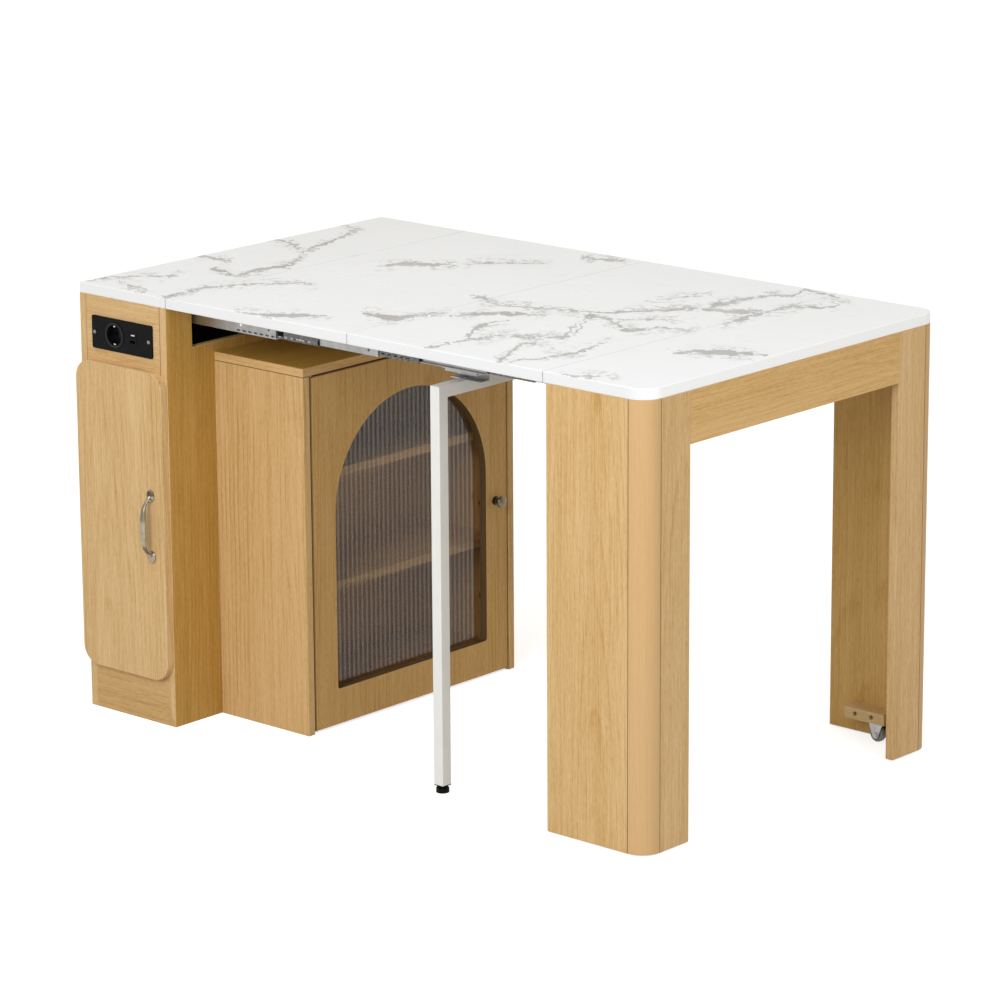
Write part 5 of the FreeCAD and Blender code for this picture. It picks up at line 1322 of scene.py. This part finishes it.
@dataclass
class Support:
    """The white steel leg with its cross arm, glide and brackets."""

    bolt_radius: float = 4.4
    bolt_place: Point = (942.3, 128.0, 819.0)

    def dress(self) -> None:
        """Finish the tubes, the glide and the brackets."""
        dress_nodes(WHITE_STEEL, "support_post", "support_arm")
        dress_nodes(BLACK_PLASTIC, "support_glide")
        dress_nodes(ZINC, "slide_brackets")

    def bolts(self) -> None:
        """A domed bolt head on each bracket's lower flange, into the cross arm."""
        head = screw_head(self.bolt_radius, 2.0).moved(*self.bolt_place)
        make_piece("bracket_bolts", [head, head.mirrored()], ZINC, "centre_stage")

    def build(self) -> None:
        """Dress the support and add its bolts."""
        self.dress()
        self.bolts()


@dataclass
class EndFrame:
    """The rolling end frame: legs with rounded corners, apron, caster blocks and wheels."""

    wheels: tuple[tuple[str, str, float, float], ...] = (
        ("near", "near_wheel", 1433.0, 38.0), ("far", "far_wheel", 1397.0, 862.0))
    wheel_radius: float = 16.0
    wheel_half: float = 7.0
    hub_half: float = 8.0

    def dress(self) -> None:
        """Finish every board and fitting that the model has."""
        side, back = (Way.X, 1457.0), (Way.Y, 43.0)
        # Painted shade: the far leg's inner face tinted warmer and darker.
        dress_board("leg_side_panels", Way.Z, paired=True, width=18.0, joints=(side,),
                    light=(0.685, 0.455, 0.222, 1), beyond=(1.0, 0.95, 0.70, 1))
        dress_board("leg_corner_posts", Way.Z, paired=True, width=43.0, thin=Way.Y, figure=0.0,
                    pores=0.2, light=(0.62, 0.39, 0.185, 1), deepen=(0.92, 0.90, 0.84),
                    joints=(side, back))
        dress_board("leg_return_panels", Way.Z, paired=True, width=85.0, joints=(back,))
        dress_board("apron", Way.Y, figure=0.6, light=(0.70, 0.445, 0.193, 1))
        for node, width in (("end_slide_battens", 18.0), ("caster_blocks", 40.0)):
            dress_board(node, Way.X, paired=True, width=width, wood=TIMBER)
        dress_nodes(MARBLE, "end_top")
        dress_nodes(ZINC, "caster_forks", "caster_axles")

    def tyres(self) -> None:
        """The caster wheels: a rounded tread, dished sides and a hub, one profile round the axle."""
        r, w, h = self.wheel_radius, self.wheel_half, self.hub_half
        bow = np.linspace(-1, 1, 9)
        tread = [(w * 0.96 * b, r - 1.6 * b ** 4) for b in bow]
        profile = [(-h, 3.3), (-h, 7.6), (-h + 1.4, 7.9), (-w + 1.6, 9.0), (-w + 1.4, 12.4), (-w, 13.4)]
        profile += tread + [(-a, b) for a, b in profile[::-1]] + [(h, 3.3), (-h, 3.3)]
        outline = [profile[0]] + [p for before, p in zip(profile, profile[1:]) if p != before]
        for side, body, x, y in self.wheels:
            shell = lathe(outline, 48).turned(Way.Y).moved(x, y, r)
            make_piece("%s_wheel_tread" % side, [shell], NYLON, body,
                       replaces=["%s_caster_wheel" % side])

    def build(self) -> None:
        """Dress the end frame and add its wheels."""
        self.dress()
        self.tyres()


@dataclass
class Leaves:
    """The two loose leaves of the worktop."""

    def build(self) -> None:
        """Give both leaves the worktop's marble, which runs on across the seams."""
        dress_nodes(MARBLE, "second_leaf", "third_leaf")


# ------------------------------------------------------------------ camera and light


@dataclass
class Studio:
    """Camera at the photograph's angle, a pale floor, a soft sky and two soft lamps."""

    eye: Point = (5.65755, -6.3410, 2.7185)
    yaw: float = 0.72703
    pitch: float = 0.2576
    roll: float = -0.0061
    lens: float = 156.24
    sky: float = 0.52
    warm: Point = (1.0, 0.94, 0.82)
    floor_albedo: float = 0.62
    floor_glow: float = 0.74
    floor_reach: float = 60.0
    cool: Point = (0.88, 0.945, 1.0)
    lamps: tuple[tuple[str, tuple, tuple, float, float], ...] = (
        ("key", (1.2, -4.6, 2.8), (0.0, 0.0, 0.5), 158.0, 2.6),
        ("side", (4.0, -0.8, 3.6), (0.5, 0.0, 0.5), 78.0, 2.2))

    def camera(self) -> None:
        """Place the camera from its turn, tilt and roll."""
        data = bpy.data.cameras.new("camera")
        data.lens, data.sensor_width, data.clip_end = self.lens, 36.0, 200.0
        pose = Matrix.Translation(self.eye)
        for angle, axis in ((self.yaw, "Z"), (math.pi / 2 - self.pitch, "X"), (self.roll, "Z")):
            pose @= Matrix.Rotation(angle, 4, axis)
        bpy.context.scene.camera = put_in_scene("camera", data)
        bpy.context.scene.camera.matrix_world = pose

    def seen(self, g: Graph) -> Socket:
        """1 where the camera, a reflection or a view through glass meets the surface."""
        path = g.node("ShaderNodeLightPath").outputs
        total = g.plus(path["Is Camera Ray"], path["Is Glossy Ray"])
        return g.plus(total, path["Is Transmission Ray"], clamp=True)

    def world(self) -> None:
        """An even sky that lights the island, and looks white where it is seen."""
        world = bpy.context.scene.world = bpy.data.worlds.new("sky")
        g = Graph.of(world)
        seen = self.seen(g)
        strength = g.spread(seen, 0.0, 1.0, self.sky, 1.0)
        colour = g.blend(seen, (*self.warm, 1), (1, 1, 1, 1))
        back = g.node("ShaderNodeBackground", {"Color": colour, "Strength": strength})
        g.node("ShaderNodeOutputWorld", {"Surface": back.outputs[0]})

    def floor(self) -> None:
        """A wide pale floor that keeps the island's shadow and is white where it is seen."""
        mesh = bpy.data.meshes.new("floor")
        edge = self.floor_reach
        mesh.from_pydata([(-edge, -edge, 0), (edge, -edge, 0), (edge, edge, 0), (-edge, edge, 0)], [],
                         [(0, 1, 2, 3)])
        put_in_scene("floor", mesh)
        material = bpy.data.materials.new("pale_floor")
        g = Graph.of(material)
        matt = g.node("ShaderNodeBsdfDiffuse", {"Color": (*[self.floor_albedo] * 3, 1)})
        glow = g.node("ShaderNodeEmission", {"Color": (1, 1, 1, 1),
                                             "Strength": g.times(self.seen(g), self.floor_glow)})
        both = g.node("ShaderNodeAddShader", {0: matt.outputs[0], 1: glow.outputs[0]})
        g.node("ShaderNodeOutputMaterial", {"Surface": both.outputs[0]})
        mesh.materials.append(material)

    def lamp(self, name: str, spot: Sequence[float], aim: Sequence[float], watts: float,
             size: float) -> None:
        """A square soft lamp that faces a point."""
        data = bpy.data.lights.new(name, "AREA")
        data.energy, data.size, data.shape, data.color = watts, size, "SQUARE", self.cool
        turn = (Vector(aim) - Vector(spot)).to_track_quat("-Z", "Y").to_matrix().to_4x4()
        put_in_scene(name, data).matrix_world = Matrix.Translation(spot) @ turn

    def build(self) -> None:
        """Set camera, light and floor."""
        self.camera()
        self.world()
        self.floor()
        for lamp in self.lamps:
            self.lamp(*lamp)
        bpy.context.scene.view_settings.view_transform = "Standard"


def main() -> None:
    """Build the island's looks in order, and log each part as it is done."""
    logging.basicConfig(level=logging.INFO, format="%(name)s %(message)s")
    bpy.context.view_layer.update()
    for part in (Studio(), Tower(), LowCabinet(), Slides(), Support(), Leaves(), EndFrame()):
        part.build()
        LOG.info("%s done", type(part).__name__)


if __name__ == "__main__":
    main()
